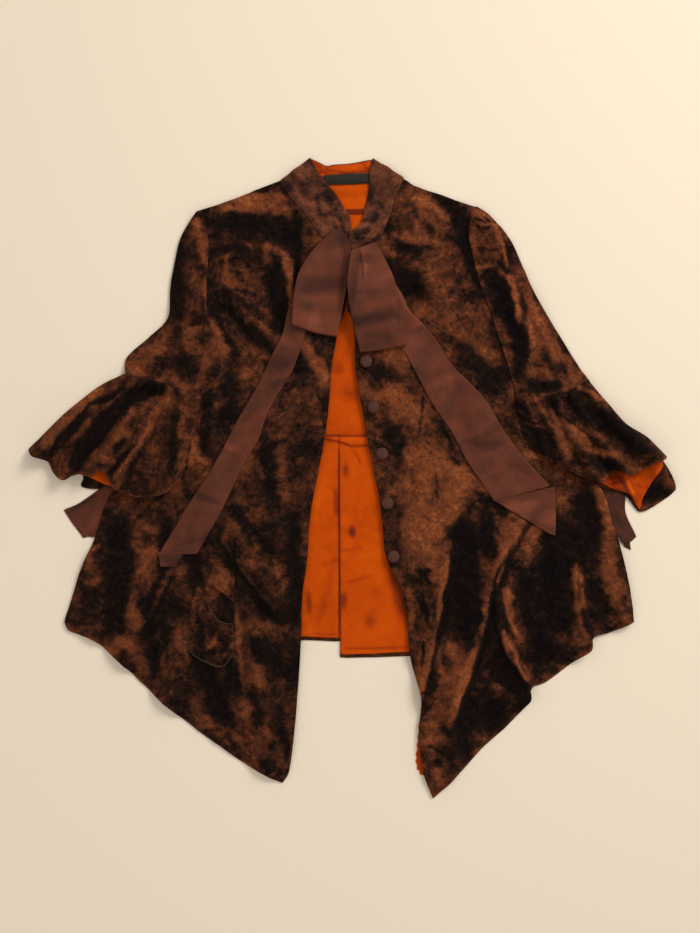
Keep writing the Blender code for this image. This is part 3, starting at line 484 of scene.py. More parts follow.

# Marks of crushing and wear in the pile, and of painted shade in folds, valleys and under
# edges and painted highlights on ridges. Columns: start across, start down, end across, end
# down, half width, tone: above 0 the pile lies light, below 0 it lies dark.
MARKS_FRONT_RIGHT = [
    (-206, 84, -150, 74, 9, 0.55), (-150, 78, -86, 84, 9, 0.4), (-200, 68, -108, 62, 13, 0.5),
    (-176, 58, -140, 62, 7, 0.35), (-176, 71, -172, 73, 4, -0.6), (-146, 50, -128, 46, 6, -0.55),
    (-104, 44, -96, 56, 6, -0.6), (-208, 92, -168, 98, 14, -0.6), (-170, 96, -96, 112, 17, -0.7),
    (-112, 104, -92, 132, 12, -0.5), (-84, 84, -82, 196, 6, -0.7), (-68, 96, -48, 132, 15, 0.25),
    (-72, 134, -56, 168, 12, 0.15), (-58, 88, -52, 94, 4, -0.3), (-66, 112, -60, 118, 4, -0.3),
    (-128, 128, -132, 166, 3, 0.3), (-128, 130, -104, 148, 5, 0.45), (-104, 148, -92, 182, 7, 0.75),
    (-92, 182, -87, 224, 5, 0.6), (-122, 160, -112, 186, 10, -0.45), (-118, 186, -98, 262, 13, -0.75),
    (-190, 130, -150, 140, 16, -0.25), (-168, 128, -146, 134, 4, 0.3), (-190, 150, -186, 190, 4, 0.3),
    (-160, 150, -150, 210, 12, 0.05), (-186, 196, -140, 204, 4, -0.4),
    (-176, 168, -160, 190, 7, -0.3), (-192, 225, -125, 285, 7, -0.6), (-180, 212, -112, 268, 4, 0.25),
    (-206, 232, -176, 292, 6, -0.4), (-215, 240, -190, 300, 12, 0.4), (-75, 275, -38, 340, 9, 0.6),
    (-95, 300, -75, 325, 12, -0.6), (-60, 350, -45, 420, 10, 0.2), (-290, 350, -222, 475, 13, 0.45),
    (-270, 345, -258, 470, 8, -0.5), (-240, 350, -245, 470, 7, 0.4), (-215, 345, -222, 450, 9, -0.5),
    (-175, 320, -190, 400, 12, -0.4), (-150, 420, -170, 470, 14, 0.3),
    (-352, 545, -345, 640, 17, -0.65), (-346, 640, -352, 715, 13, -0.6),
    (-398, 590, -384, 640, 13, 0.12), (-400, 655, -380, 690, 18, -0.05),
    (-320, 500, -300, 600, 18, 0.05), (-300, 572, -314, 628, 9, 0.25),
    (-278, 556, -284, 622, 6, -0.7), (-284, 622, -302, 668, 4, -0.6), (-290, 630, -316, 690, 6, 0.05),
    (-258, 590, -246, 660, 8, 0.12), (-318, 640, -300, 700, 9, -0.35), (-334, 668, -320, 716, 9, 0.3),
    (-352, 718, -330, 740, 10, 0.4), (-332, 720, -318, 765, 10, 0.3),
    (-300, 700, -296, 780, 9, -0.55), (-284, 690, -276, 750, 6, -0.3),
    (-266, 700, -250, 790, 6, 0.15), (-252, 730, -244, 770, 5, 0.3), (-268, 660, -256, 690, 8, -0.3),
    (-238, 600, -236, 650, 9, -0.55), (-240, 700, -214, 800, 10, -0.35),
    (-225, 770, -190, 850, 18, -0.7), (-182, 760, -176, 800, 9, -0.6),
    (-274, 800, -222, 834, 9, 0.25), (-240, 838, -160, 880, 12, 0.4), (-186, 868, -176, 880, 5, -0.5),
    (-172, 690, -166, 785, 4, 0.4), (-168, 700, -140, 728, 10, 0.25),
    (-176, 575, -174, 650, 2.5, -0.45), (-206, 590, -200, 630, 8, 0.2),
    (-158, 606, -122, 640, 6, 0.25), (-150, 622, -110, 636, 9, -0.35),
    (-186, 520, -150, 580, 6, -0.3), (-176, 530, -112, 600, 6, -0.35),
    (-140, 640, -128, 690, 12, -0.3), (-150, 715, -140, 750, 8, -0.45),
    (-128, 742, -108, 772, 13, -0.5), (-150, 765, -136, 800, 7, 0.25), (-124, 700, -112, 750, 9, 0.0),
    (-164, 790, -160, 850, 5, 0.25), (-146, 810, -138, 860, 10, -0.4),
    (-118, 790, -104, 880, 11, -0.2), (-140, 846, -104, 900, 12, 0.1), (-104, 855, -98, 905, 5, -0.5),
    (-136, 905, -112, 920, 9, -0.4), (-120, 925, -104, 935, 5, 0.15), (-88, 540, -82, 690, 11, -0.55),
    (-84, 700, -88, 800, 7, -0.2), (-130, 430, -122, 520, 7, -0.35), (-110, 440, -100, 520, 9, 0.25),
]
MARKS_FRONT_LEFT = [
    (121, 845, 119, 896, 12, 0.55), (128, 916, 132, 948, 9, 0.3), (258, 444, 288, 456, 6, 0.45),
    (88, 60, 134, 84, 6, 0.6), (98, 76, 130, 112, 6, 0.3), (130, 56, 165, 85, 13, -0.75),
    (108, 48, 130, 58, 7, -0.2), (96, 44, 112, 52, 5, 0.25), (64, 60, 78, 100, 8, 0.1),
    (160, 95, 178, 145, 12, -0.85), (178, 150, 200, 190, 12, -0.8), (205, 180, 235, 255, 15, -0.8),
    (225, 255, 250, 330, 15, -0.85), (40, 104, 62, 118, 9, -0.5), (68, 134, 100, 146, 9, -0.75),
    (70, 166, 94, 210, 13, -0.75), (62, 120, 92, 122, 6, 0.3), (78, 154, 100, 158, 5, 0.15),
    (104, 120, 132, 132, 6, 0.2), (118, 100, 122, 130, 5, -0.3), (52, 152, 62, 190, 7, -0.5),
    (84, 214, 104, 244, 8, 0.1), (140, 118, 160, 128, 4, -0.4), (120, 135, 200, 230, 36, 0.15),
    (150, 255, 205, 300, 10, 0.3), (165, 285, 215, 345, 17, -0.4), (55, 345, 105, 395, 15, 0.7),
    (30, 320, 70, 330, 10, -0.4), (50, 400, 80, 440, 13, -0.5), (85, 445, 165, 480, 13, 0.75),
    (165, 480, 130, 560, 17, 0.7), (100, 470, 110, 600, 25, 0.6), (144, 602, 128, 690, 6, 0.85),
    (112, 762, 102, 805, 6, 0.5), (109, 360, 101, 410, 3, -0.6), (120, 444, 128, 511, 2.5, -0.35),
    (101, 537, 116, 549, 2.5, -0.5), (116, 549, 105, 562, 2.5, -0.5), (97, 621, 116, 638, 3.5, -0.9),
    (116, 621, 104, 631, 3, -0.7), (105, 654, 109, 697, 3.2, -0.9), (98, 660, 102, 680, 2.5, -0.6),
    (105, 730, 103, 760, 2.6, -0.7), (82, 646, 88, 705, 4, 0.3), (147, 735, 180, 755, 11, 0.3),
    (109, 802, 143, 789, 2.4, -0.5), (140, 410, 150, 440, 3, -0.4), (90, 470, 94, 520, 3, -0.35),
    (135, 520, 128, 548, 3, -0.3), (152, 600, 128, 720, 5, -0.9), (165, 560, 180, 720, 21, -1.0),
    (125, 740, 165, 790, 19, 0.6), (140, 745, 150, 790, 7, -0.6), (204, 658, 195, 706, 5, 0.8),
    (195, 706, 148, 850, 6, 0.75), (256, 548, 226, 598, 7, 0.8), (226, 598, 215, 640, 5, 0.85),
    (210, 660, 226, 712, 8, -1.0), (225, 765, 250, 790, 17, -0.8), (190, 820, 222, 850, 20, -0.75),
    (196, 756, 204, 790, 5, 0.2), (214, 790, 226, 798, 5, 0.25), (176, 800, 184, 812, 4, 0.3),
    (196, 820, 206, 826, 4, 0.25), (186, 862, 206, 880, 7, 0.3), (160, 884, 176, 902, 7, -0.5),
    (170, 850, 176, 886, 8, -0.35), (212, 655, 224, 713, 3, 0.7), (224, 713, 264, 795, 3, 0.7),
    (306, 560, 308, 690, 25, -1.0), (290, 740, 300, 760, 20, -0.7), (338, 618, 346, 670, 6, 0.75),
    (345, 515, 350, 600, 19, -0.9), (196, 514, 232, 532, 9, -0.8), (200, 540, 206, 606, 11, -0.85),
    (368, 502, 393, 578, 8, 0.7), (385, 585, 392, 650, 11, 0.6), (368, 650, 380, 680, 10, -0.6),
    (380, 695, 410, 690, 8, 0.3), (275, 555, 258, 600, 10, 0.5), (106, 806, 146, 830, 15, 0.1),
    (112, 846, 142, 850, 15, -0.05), (116, 888, 142, 900, 5, -0.35), (122, 905, 130, 912, 4, -0.5),
    (112, 880, 116, 884, 3, -0.4), (128, 925, 124, 950, 8, 0.1), (200, 742, 212, 770, 8, 0.15),
    (300, 762, 320, 772, 5, 0.3), (268, 612, 272, 660, 3, -0.3), (234, 652, 241, 692, 6, 0.85),
    (241, 692, 250, 726, 4, 0.6), (262, 640, 280, 740, 12, -0.7), (330, 700, 346, 740, 9, 0.2),
]
# Folds that lie over each other. Each: the line of the upper edge, from the top down; which side
# is the upper one, -1 for the viewer's left and 1 for the right; its height and the painted
# highlight on its edge; and the painted shadow beside it.
LAPS_FRONT_LEFT = [
    ([(160, 545), (151, 574), (136, 679), (124, 724), (104, 813)], -1, 4.5, 0.18, 0.6),
    ([(250, 560), (216, 619), (201, 687), (191, 729), (176, 774), (159, 823), (147, 861)],
     -1, 6.0, 0.22, 0.7),
    ([(213, 640), (213, 665), (221, 714), (246, 768), (266, 793)], 1, 6.5, 0.35, 0.7),
    ([(336, 600), (338, 669), (348, 704), (358, 729)], -1, 4.5, 0.30, 0.5),
    ([(180, 80), (178, 130), (188, 170), (200, 215)], 1, 1.0, 0.1, 0.4),
]
LAPS_FRONT_RIGHT = [
    ([(-207, 560), (-180, 600), (-140, 650), (-112, 690)], 1, 3.0, 0.16, 0.4),
    ([(-178, 560), (-177, 640), (-178, 745), (-190, 850)], 1, 1.2, 0.2, 0.3),
    ([(-268, 620), (-290, 670), (-318, 720)], -1, 3.0, 0.16, 0.5),
    ([(-126, 130), (-112, 180), (-98, 230)], -1, 2.0, 0.12, 0.5),
]
MARKS_POCKET_FLAP = [
    (-206, 630, -184, 640, 8, 0.3), (-200, 644, -182, 654, 4, 0.25),
]
MARKS_POCKET = [
    (-215, 738, -205, 722, 4, 0.45), (-208, 735, -206, 745, 3, -0.4), (-196, 715, -188, 740, 6, -0.4),
    (-232, 680, -226, 730, 6, -0.35), (-222, 715, -216, 735, 4, 0.2),
]
MARKS_SLEEVE_RIGHT = [
    (-230, 95, -213, 170, 7, 0.55), (-222, 190, -208, 245, 7, 0.45),
    (-258, 120, -266, 230, 10, -0.45), (-240, 190, -246, 250, 8, 0.15),
    (-330, 320, -300, 326, 8, 0.25), (-285, 300, -235, 320, 13, -0.4),
    (-310, 290, -260, 300, 9, 0.35), (-250, 250, -235, 290, 11, 0.3),
]
MARKS_SLEEVE_LEFT = [
    (190, 82, 206, 94, 6, 0.45), (188, 92, 198, 98, 1.8, -0.6), (198, 90, 206, 98, 1.8, -0.7),
    (184, 98, 190, 106, 4, -0.2), (188, 101, 204, 104, 2.2, 0.5), (196, 104, 206, 107, 1.6, -0.5),
    (206, 100, 216, 104, 3, 0.3), (216, 104, 231, 162, 2.8, 0.65), (182, 108, 187, 162, 5, 0.35),
    (188, 164, 212, 165, 3, 0.45), (196, 116, 206, 156, 9, 0.15), (190, 136, 218, 142, 3, -0.25),
    (226, 120, 240, 166, 6, -0.25), (206, 176, 224, 196, 10, -0.7), (220, 160, 236, 176, 4, -0.5),
    (236, 178, 249, 250, 4, 0.95), (224, 196, 236, 246, 11, -0.8), (240, 250, 254, 292, 12, -0.85),
    (254, 290, 250, 328, 11, -0.85), (212, 190, 222, 226, 8, -0.5), (226, 250, 234, 300, 6, 0.1),
    (236, 300, 242, 345, 6, 0.1), (250, 176, 262, 214, 5, -0.1), (262, 206, 284, 262, 6, 0.5),
    (262, 240, 268, 300, 5, 0.55), (268, 254, 280, 300, 6, 0.35), (256, 210, 260, 244, 4, -0.4),
    (276, 208, 286, 236, 4, -0.2), (286, 262, 306, 300, 9, 0.35), (298, 286, 334, 324, 10, 0.3),
    (250, 352, 300, 349, 7, -0.55), (230, 342, 247, 364, 1.8, 0.5), (292, 296, 300, 318, 4, -0.35),
    (314, 306, 322, 326, 4, -0.4), (268, 322, 296, 326, 5, 0.3), (264, 338, 306, 344, 6, -0.5),
    (276, 312, 290, 318, 3, -0.35), (296, 240, 316, 276, 5, 0.15),
]
# Painted highlights on the flutes' ridges and painted shade in their valleys, with crushing.
MARKS_FLOUNCE_RIGHT = [
    (-378, 347, -442, 411, 9, 0.5), (-478, 436, -462, 440, 10, -0.25),
    (-338, 347, -390, 373, 4, -0.7), (-390, 373, -424, 415, 4, -0.8), (-424, 415, -452, 447, 4, -0.7),
    (-340, 352, -366, 376, 6, 0.3), (-366, 376, -410, 412, 9, 0.25), (-284, 345, -338, 366, 10, -0.9),
    (-338, 366, -372, 399, 13, -1.0), (-372, 399, -402, 437, 12, -1.0),
    (-402, 437, -410, 462, 8, -0.8), (-280, 360, -334, 390, 7, 0.3), (-334, 411, -352, 420, 6, 0.6),
    (-345, 400, -398, 462, 9, 0.15), (-342, 425, -352, 437, 4, -0.9), (-368, 445, -362, 452, 6, 0.35),
    (-314, 431, -352, 483, 3, 0.5), (-326, 437, -360, 473, 5, -0.6), (-304, 440, -338, 486, 5, -0.35),
    (-273, 357, -298, 397, 7, 0.35), (-298, 397, -316, 433, 6, 0.3), (-262, 370, -272, 470, 6, -0.3),
    (-250, 380, -256, 470, 5, 0.2), (-290, 440, -300, 500, 6, 0.15),
]
# Painted highlights on the flutes' ridges and painted shade in their valleys, with crushing.
MARKS_FLOUNCE_LEFT = [
    (339, 343, 376, 368, 4, 0.6), (307, 387, 339, 417, 13, 0.35), (339, 417, 371, 440, 13, 0.35),
    (371, 440, 394, 463, 10, 0.3), (387, 440, 414, 466, 10, 0.3), (339, 373, 422, 428, 12, -0.7),
    (422, 428, 458, 447, 12, -0.35), (360, 456, 388, 464, 11, -0.9), (295, 353, 335, 360, 2.5, 0.5),
    (270, 332, 339, 364, 10, -0.7), (302, 405, 321, 447, 8, 0.45), (268, 414, 289, 435, 11, -0.8),
    (272, 355, 293, 389, 2.5, 0.4), (248, 362, 262, 400, 8, -0.5), (300, 375, 340, 408, 4, -0.5),
    (340, 408, 384, 440, 3.5, -0.4), (300, 357, 322, 362, 1.8, 0.4), (272, 356, 288, 383, 1.6, 0.5),
    (250, 384, 266, 392, 2, 0.45), (262, 400, 286, 412, 2, 0.35), (290, 450, 305, 462, 5, -0.5),
    (274, 430, 290, 448, 5, -0.3),
]
MARKS_UNDER_LEFT = [
    (440, 492, 462, 504, 11, -0.9), (470, 478, 484, 500, 4, 0.35), (474, 510, 432, 530, 3.5, 0.3),
]
MARKS_UNDER_RIGHT = [
    (-404, 492, -366, 494, 8, -0.2),
]
MARKS_LINING_LEFT = [
    (371, 486, 394, 470, 2.5, -0.5), (369, 490, 400, 478, 2.0, -0.45),
    (370, 494, 404, 488, 2.0, -0.5), (374, 498, 408, 498, 2.0, -0.4), (396, 470, 430, 528, 4.5, -0.3),
    (403, 480, 420, 512, 2.5, -0.5), (412, 481, 424, 506, 2.5, 0.4),
]
MARKS_NECK = [
    (-50, 22, -20, 28, 3, -0.35), (-56, 8, -46, 18, 3, -0.25), (-30, 15, 24, 12, 3, 0.15),
    (-20, 24, 22, 22, 2.5, -0.4), (-40, 18, 6, 26, 1.6, -0.3), (16, 8, 24, 20, 3, -0.2),
    (4, 14, 10, 24, 2, 0.2),
]
MARKS_BACK = [
    (-60, 80, -70, 420, 30, 0.3), (60, 90, 80, 430, 26, -0.4), (-150, 200, -190, 640, 34, -0.5),
    (150, 220, 210, 650, 30, 0.4), (-260, 480, -300, 690, 24, 0.4), (280, 480, 330, 700, 26, -0.5),
    (-40, 460, -60, 700, 18, -0.4), (30, 470, 60, 720, 20, 0.35), (-110, 120, -90, 200, 14, -0.5),
]
# Seams, stains and smudges, and a painted shadow beside the left front's edge.
MARKS_LINING = [
    (-100, 418, 90, 418, 1.8, -1.1), (-50, 421, -16, 428, 1.6, -0.8), (-16, 428, 0, 434, 1.6, -0.9),
    (0, 434, 34, 432, 1.6, -0.6), (-12, 424, 30, 425, 5, 0.2), (-19.5, 438, -18.5, 750, 1.6, -0.8),
    (-25, 500, -24, 535, 4, -0.4), (0, 558, 1, 567, 4.5, -1.2), (-10, 462, -9, 477, 5, -0.4),
    (-66, 655, -64, 684, 4, -0.45), (-12, 656, -14, 676, 5, -0.5), (26, 690, 28, 704, 8, -0.25),
    (62, 615, 84, 690, 13, -0.7), (-3, 350, -1, 358, 12, -0.3), (-21, 312, -20, 325, 9, -0.3),
    (-19, 592, 16, 585, 2.5, -0.2), (-20, 604, -45, 612, 3, -0.2), (8, 600, 50, 592, 3, 0.12),
    (5, 442, 14, 462, 2, -0.3), (-8, 640, 30, 628, 2.5, -0.2), (-30, 620, -50, 700, 8, -0.15),
    (-56, 716, -24, 717, 2, -0.25), (-12, 738, 80, 737, 1.8, -0.35), (-40, 470, -60, 560, 6, 0.12),
]
MARKS_TAIL_RIGHT = [
    (-90, 330, -120, 345, 5, -0.25), (-190, 430, -160, 445, 5, 0.2), (-240, 500, -200, 520, 4, -0.2),
]
MARKS_TAIL_LEFT = [
    (60, 190, 107, 252, 8, 0.3), (96, 262, 104, 255, 4, -0.2), (159, 435, 229, 400, 4, -0.1),
    (120, 340, 150, 330, 7, 0.25),
]
MARKS_COLLAR_RIGHT = [
    (-60, 4, -44, 34, 5, -0.25), (-100, 38, -92, 52, 6, -0.4), (-70, 30, -66, 36, 4, -0.25),
    (-52, 60, -48, 68, 4, -0.4), (-36, 56, -30, 74, 4, -0.35), (-30, 84, -10, 90, 5, -0.25),
    (-14, 96, -8, 112, 5, -0.5), (-50, 78, -44, 86, 4, -0.2), (-66, 62, -60, 74, 5, 0.15),
    (-24, 98, -20, 110, 5, -0.3), (-82, 28, -76, 44, 7, 0.12),
]
MARKS_COLLAR_LEFT = [
    (26, 52, 30, 76, 6, -0.3), (14, 98, 34, 94, 5, -0.3), (2, 112, 24, 118, 7, -0.4),
    (36, 62, 46, 84, 4, -0.25), (8, 104, 20, 108, 2.5, 0.25), (10, 122, 26, 122, 2.5, 0.25),
    (4, 128, 26, 136, 10, -0.75), (22, 104, 36, 112, 3, 0.3), (36, 16, 46, 30, 8, 0.12),
    (48, 40, 54, 60, 6, 0.12), (30, 8, 36, 12, 4, -0.3),
]
MARKS_CUFF = [
    (-428, 533, -386, 510, 1.8, -0.5), (-402, 565, -378, 515, 6, 0.12), (372, 490, 402, 530, 3, 0.15),
    (384, 500, 410, 560, 4, -0.15),
]
# Painted fold shade and highlights on the loops; they also raise and lower the upper layer.
MARKS_LOOP_RIGHT = [
    (-80, 196, -8, 186, 12, -0.26), (-78, 226, -16, 232, 6, -0.1), (-86, 240, -24, 252, 5, 0.1),
    (-44, 148, -70, 178, 8, 0.12), (-56, 176, -60, 158, 4, -0.1), (-22, 116, -10, 150, 5, -0.1),
    (-76, 212, -16, 214, 5, 0.08),
]
# Painted fold shade and highlights on the loops; they also raise and lower the upper layer.
MARKS_LOOP_LEFT = [
    (4, 250, 60, 238, 9, -0.3), (60, 238, 78, 246, 6, -0.1), (0, 207, 46, 204, 5, -0.1),
    (12, 143, 16, 184, 1.6, -0.3), (18, 145, 20, 186, 3, 0.15), (8, 226, 60, 218, 6, 0.12),
    (8, 268, 60, 272, 5, -0.1), (66, 222, 70, 250, 3, -0.08), (62, 216, 66, 236, 3, 0.12),
]

# Colours over the tone. Columns: tone, colour as linear red, green and blue.
VELVET_COLOURS = [
    (0.0, (0.0034, 0.0022, 0.0020)), (0.25, (0.0118, 0.0054, 0.0038)), (0.48, (0.046, 0.0145, 0.0070)),
    (0.70, (0.105, 0.0290, 0.0120)), (0.88, (0.170, 0.0460, 0.0150)), (1.0, (0.26, 0.0750, 0.0230)),
]
COLLAR_COLOURS = [
    (0.0, (0.008, 0.0046, 0.0046)), (0.3, (0.030, 0.0125, 0.0085)), (0.6, (0.090, 0.0290, 0.0155)),
    (1.0, (0.20, 0.062, 0.028)),
]
LINING_COLOURS = [
    (0.0, (0.075, 0.014, 0.004)), (0.25, (0.27, 0.028, 0.002)), (0.55, (0.46, 0.055, 0.0005)),
    (1.0, (0.68, 0.100, 0.001)),
]
RIBBON_COLOURS = [
    (0.0, (0.018, 0.0068, 0.0050)), (0.3, (0.060, 0.0180, 0.0105)), (0.6, (0.130, 0.0340, 0.0175)),
    (1.0, (0.24, 0.066, 0.034)),
]
TAPE_COLOURS = [(0.0, (0.060, 0.0100, 0.003)), (1.0, (0.24, 0.0300, 0.005))]
LABEL_COLOURS = [(0.0, (0.006, 0.006, 0.004)), (1.0, (0.036, 0.034, 0.024))]
BUTTON_COLOURS = [(0.0, (0.020, 0.0075, 0.006)), (1.0, (0.125, 0.042, 0.028))]
PIPING_COLOURS = [(0.0, (0.012, 0.006, 0.005)), (1.0, (0.11, 0.058, 0.040))]
VELVET_SHEEN = (0.03, 0.5, (0.8, 0.45, 0.3))  # weight, roughness, tint

# Noise in the velvet's shader. Columns: scale, detail, strength, distortion.
PILE_NOISE = [(42, 5, 0.46, 1.2), (120, 5, 0.78, 0.9), (700, 2, 0.24, 0.0)]
PILE_ROUGHNESS = 0.62
CREASE_WIDTH = 0.03  # in the noise's value
# painted shade that darkens the creases
CREASE_SHADE = 5.0
CREASE_DEPTH = 3.0
SLUB_TONE = 0.2
THREAD_TONE = 0.1  # of the threads' height
CROSS_THREADS = (2.0, 0.4)  # their number and height, as shares of the threads along

# The table, the light and the camera, in metres.
TABLE_HALF = 8.0
TABLE_TOP = -0.0004
TABLE_COLOUR = (0.79, 0.685, 0.545)
TABLE_ROUGHNESS = 0.9
# Columns: name, place, size, power, colour.
LAMPS = [
    ("window", (1.9, 1.9, 2.3), 1.6, 86, (1.0, 0.965, 0.92)),
    ("room", (-1.2, -1.4, 2.6), 2.2, 14, (1.0, 0.97, 0.93)),
]
FILL_COLOUR = (1.0, 0.965, 0.92)
FILL = 0.56
CAMERA_PLACE = (-0.003, 0.0178, 1.952)
CAMERA_LENS = 50  # millimetres, on a sensor of this width
CAMERA_SENSOR = 36


def edge_line(points, count):
    """A Catmull-Rom curve through the points, at count places an equal length apart."""
    knots = np.array(points, float)
    knots = np.vstack([2 * knots[0] - knots[1], knots, 2 * knots[-1] - knots[-2]])
    t = np.linspace(0, 1, CURVE_STEPS)[:, None]
    a, b, c, d = knots[:-3, None], knots[1:-2, None], knots[2:-1, None], knots[3:, None]
    spans = b + 0.5 * t * ((c - a) + t * ((2 * a - 5 * b + 4 * c - d) + t * (3 * (b - c) + d - a)))
    curve = np.vstack([spans[0, :1], spans[:, 1:].reshape(-1, 2)])
    run = np.concatenate([[0], np.cumsum(np.linalg.norm(np.diff(curve, axis=0), axis=1))])
    places = np.linspace(0, run[-1], count)
    return np.column_stack([np.interp(places, run, curve[:, axis]) for axis in (0, 1)])


def cut_out(edges, across, down):
    """A Coons patch: plan points [down, across] between four edges, which run from the top left."""
    top, bottom = edge_line(edges["top"], across + 1), edge_line(edges["bottom"], across + 1)
    left, right = edge_line(edges["left"], down + 1), edge_line(edges["right"], down + 1)
    u = np.linspace(0, 1, across + 1)[None, :, None]
    v = np.linspace(0, 1, down + 1)[:, None, None]
    corners = (1 - v) * ((1 - u) * top[0] + u * top[-1]) + v * ((1 - u) * bottom[0] + u * bottom[-1])
    return (1 - v) * top + v * bottom + (1 - u) * left[:, None] + u * right[:, None] - corners


def moved_in(points, by):
    """An edge line moved towards the middle by so many millimetres."""
    return [(across - by if across > 0 else across + by, down) for across, down in points]


def eased(share):
    """A smooth step: 0 at 0, 1 at 1, level at both."""
    share = np.clip(share, 0, 1)
    return share * share * (3 - 2 * share)


def noise(plan, size, seed):
    """Random numbers at the corners of cells of this size, read with smooth steps between them."""
    table = np.random.default_rng(seed).uniform(-1, 1, (NOISE_CELLS, NOISE_CELLS))
    place = plan / np.asarray(size, float)
    cell = np.floor(place).astype(int)
    a, b = np.moveaxis(eased(place - cell), -1, 0)
    i, j = np.moveaxis(cell % NOISE_CELLS, -1, 0)
    next_i, next_j = (i + 1) % NOISE_CELLS, (j + 1) % NOISE_CELLS
    near = (1 - a) * table[i, j] + a * table[next_i, j]
    far = (1 - a) * table[i, next_j] + a * table[next_i, next_j]
    return (1 - b) * near + b * far


def turned(plan, angle):
    """The plan turned by so many radians."""
    cos, sin = np.cos(angle), np.sin(angle)
    return plan @ np.array([[cos, sin], [-sin, cos]])


def layered(plan, size, seed, layers=4, fade=0.55):
    """Noise in layers, each half as large and weaker, and turned so that no grid shows."""
    first, step = LAYER_TURNS
    total, weight = 0.0, 1.0
    for layer in range(layers):
        total = total + weight * noise(turned(plan, first + step * layer), size / 2**layer, seed + layer)
        weight *= fade
    return total


def stirred(plan, stir, share=1.0):
    """The plan with each point pushed about by noise, as far as a row of the stirs says."""
    amount, size, seed = stir
    seeds = (seed, seed + STIR_SEED_STEP)
    push = np.stack([layered(plan, size, each, STIR_LAYERS) for each in seeds], axis=-1)
    return plan + amount * share * push


def crushed(plan, size, seed, layers=4, fade=0.55):
    """Crushed cloth: sharp ridges where layered noise passes zero, from 0 in the hollows up to 1."""
    first, step = CRUSH_TURNS
    total, weight, whole = 0.0, 1.0, 0.0
    for layer in range(layers):
        level = noise(turned(plan, first + step * layer), size / CRUSH_SHRINK**layer, seed + layer)
        total = total + weight * np.clip(1 - CRUSH_SHARPNESS * np.abs(level), 0, 1) ** 2
        whole += weight
        weight *= fade
    return total / whole


def fold_height(plan, folds):
    """The highest ridge over each plan point: a rounded profile across, fading at both ends."""
    height = np.zeros(plan.shape[:2])
    for a0, d0, a1, d1, width0, width1, high0, high1, bend, lean in folds:
        start, run = np.array([a0, d0]), np.array([a1 - a0, d1 - d0])
        length = np.hypot(*run)
        share = ((plan - start) @ run) / length**2
        along = np.clip(share, 0, 1)
        left = np.array([-run[1], run[0]]) / length
        off = (plan - start) @ left - bend * 4 * along * (1 - along)
        width = (width0 + (width1 - width0) * along) * (1 + lean * np.sign(off))
        past = (share - along) * length / (width0 + (width1 - width0) * along)
        profile = np.clip(1 - (off / width) ** 2 - past**2, 0, 1) ** 2
        height = np.maximum(height, profile * (high0 + (high1 - high0) * along))
    return height


def marked(plan, marks):
    """The sum of the marks at each plan point: a bell across each line, soft at its ends."""
    tone, relief = np.zeros(plan.shape[:2]), np.zeros(plan.shape[:2])
    for a0, d0, a1, d1, width, strength in marks:
        start, run = np.array([a0, d0]), np.array([a1 - a0, d1 - d0])
        length = np.hypot(*run)
        share = ((plan - start) @ run) / length**2
        along = np.clip(share, 0, 1)
        gap = np.linalg.norm(plan - start - along[..., None] * run, axis=-1)
        ends = np.clip(MARK_ENDS[0] - MARK_ENDS[1] * np.abs(2 * along - 1) ** 3, 0, 1)
        bell = np.exp(-((gap / width) ** MARK_POWER)) * ends
        tone += strength * bell
        relief += strength * min(width, MARK_WIDEST) * MARK_RELIEF * bell
    return tone, relief


def lapped(plan, laps):
    """Folds that lie over each other, by the signed distance to each fold's edge, along the normal
    at its nearest point: on the upper side the cloth rises to the edge and has a painted highlight,
    and beyond it drops and has a painted shadow."""
    tone, height = np.zeros(plan.shape[:2]), np.zeros(plan.shape[:2])
    for points, upper, rise, light, dark in laps:
        line = edge_line(points, LAP_POINTS)
        near = np.linalg.norm(plan[..., None, :] - line, axis=-1).argmin(axis=-1)
        ahead = np.gradient(line, axis=0)
        ahead = (ahead / np.linalg.norm(ahead, axis=1, keepdims=True))[near]
        away = plan - line[near]
        over = upper * (away[..., 0] * ahead[..., 1] - away[..., 1] * ahead[..., 0])
        past = (away * ahead).sum(axis=-1)
        share = near / (LAP_POINTS - 1)
        beyond = np.exp(-((past / LAP_DROP) ** 2) * (share * (1 - share) == 0))
        fade = eased(share * 4) * eased(0.25 + (1 - share) * 8) * beyond
        drop = np.where(over > 0, np.exp(-over / LAP_REACH), 1 - eased(-over / LAP_DROP))
        height += fade * rise * drop * np.exp(-((over / (3 * LAP_REACH)) ** 2))
        lit, shaded = np.exp(-((over / LAP_LIGHT) ** 2)), np.exp(-np.abs(over) / LAP_SHADE)
        upper_side = eased(0.5 + over / (2 * LAP_BLEND))
        tone += fade * (light * lit * upper_side - dark * shaded * (1 - upper_side))
    return tone, height


def nearness(plan, lines):
    """The distance from each plan point to the nearest of the lines."""
    near = np.full(plan.shape[:2], np.inf)
    for line in lines:
        for point in edge_line(line, NEAR_POINTS):
            near = np.minimum(near, np.linalg.norm(plan - point, axis=2))
    return near


def puff(plan, seams, height):
    """Air under a layer: it rises from nothing at the seams to its full height."""
    return height * eased(nearness(plan, seams) / PUFF_REACH)


def shifted(field, steps, axis):
    """The field moved by so many cells, with its border repeated."""
    index = np.clip(np.arange(field.shape[axis]) + steps, 0, field.shape[axis] - 1)
    return np.take(field, index, axis=axis)


def read(field, rows, columns):
    """The field between its cells, at fractional rows and columns."""
    i = np.clip(rows.astype(int), 0, field.shape[0] - 2)
    j = np.clip(columns.astype(int), 0, field.shape[1] - 2)
    a, b = rows - i, columns - j
    upper = (1 - b) * field[i, j] + b * field[i, j + 1]
    return (1 - a) * upper + a * ((1 - b) * field[i + 1, j] + b * field[i + 1, j + 1])


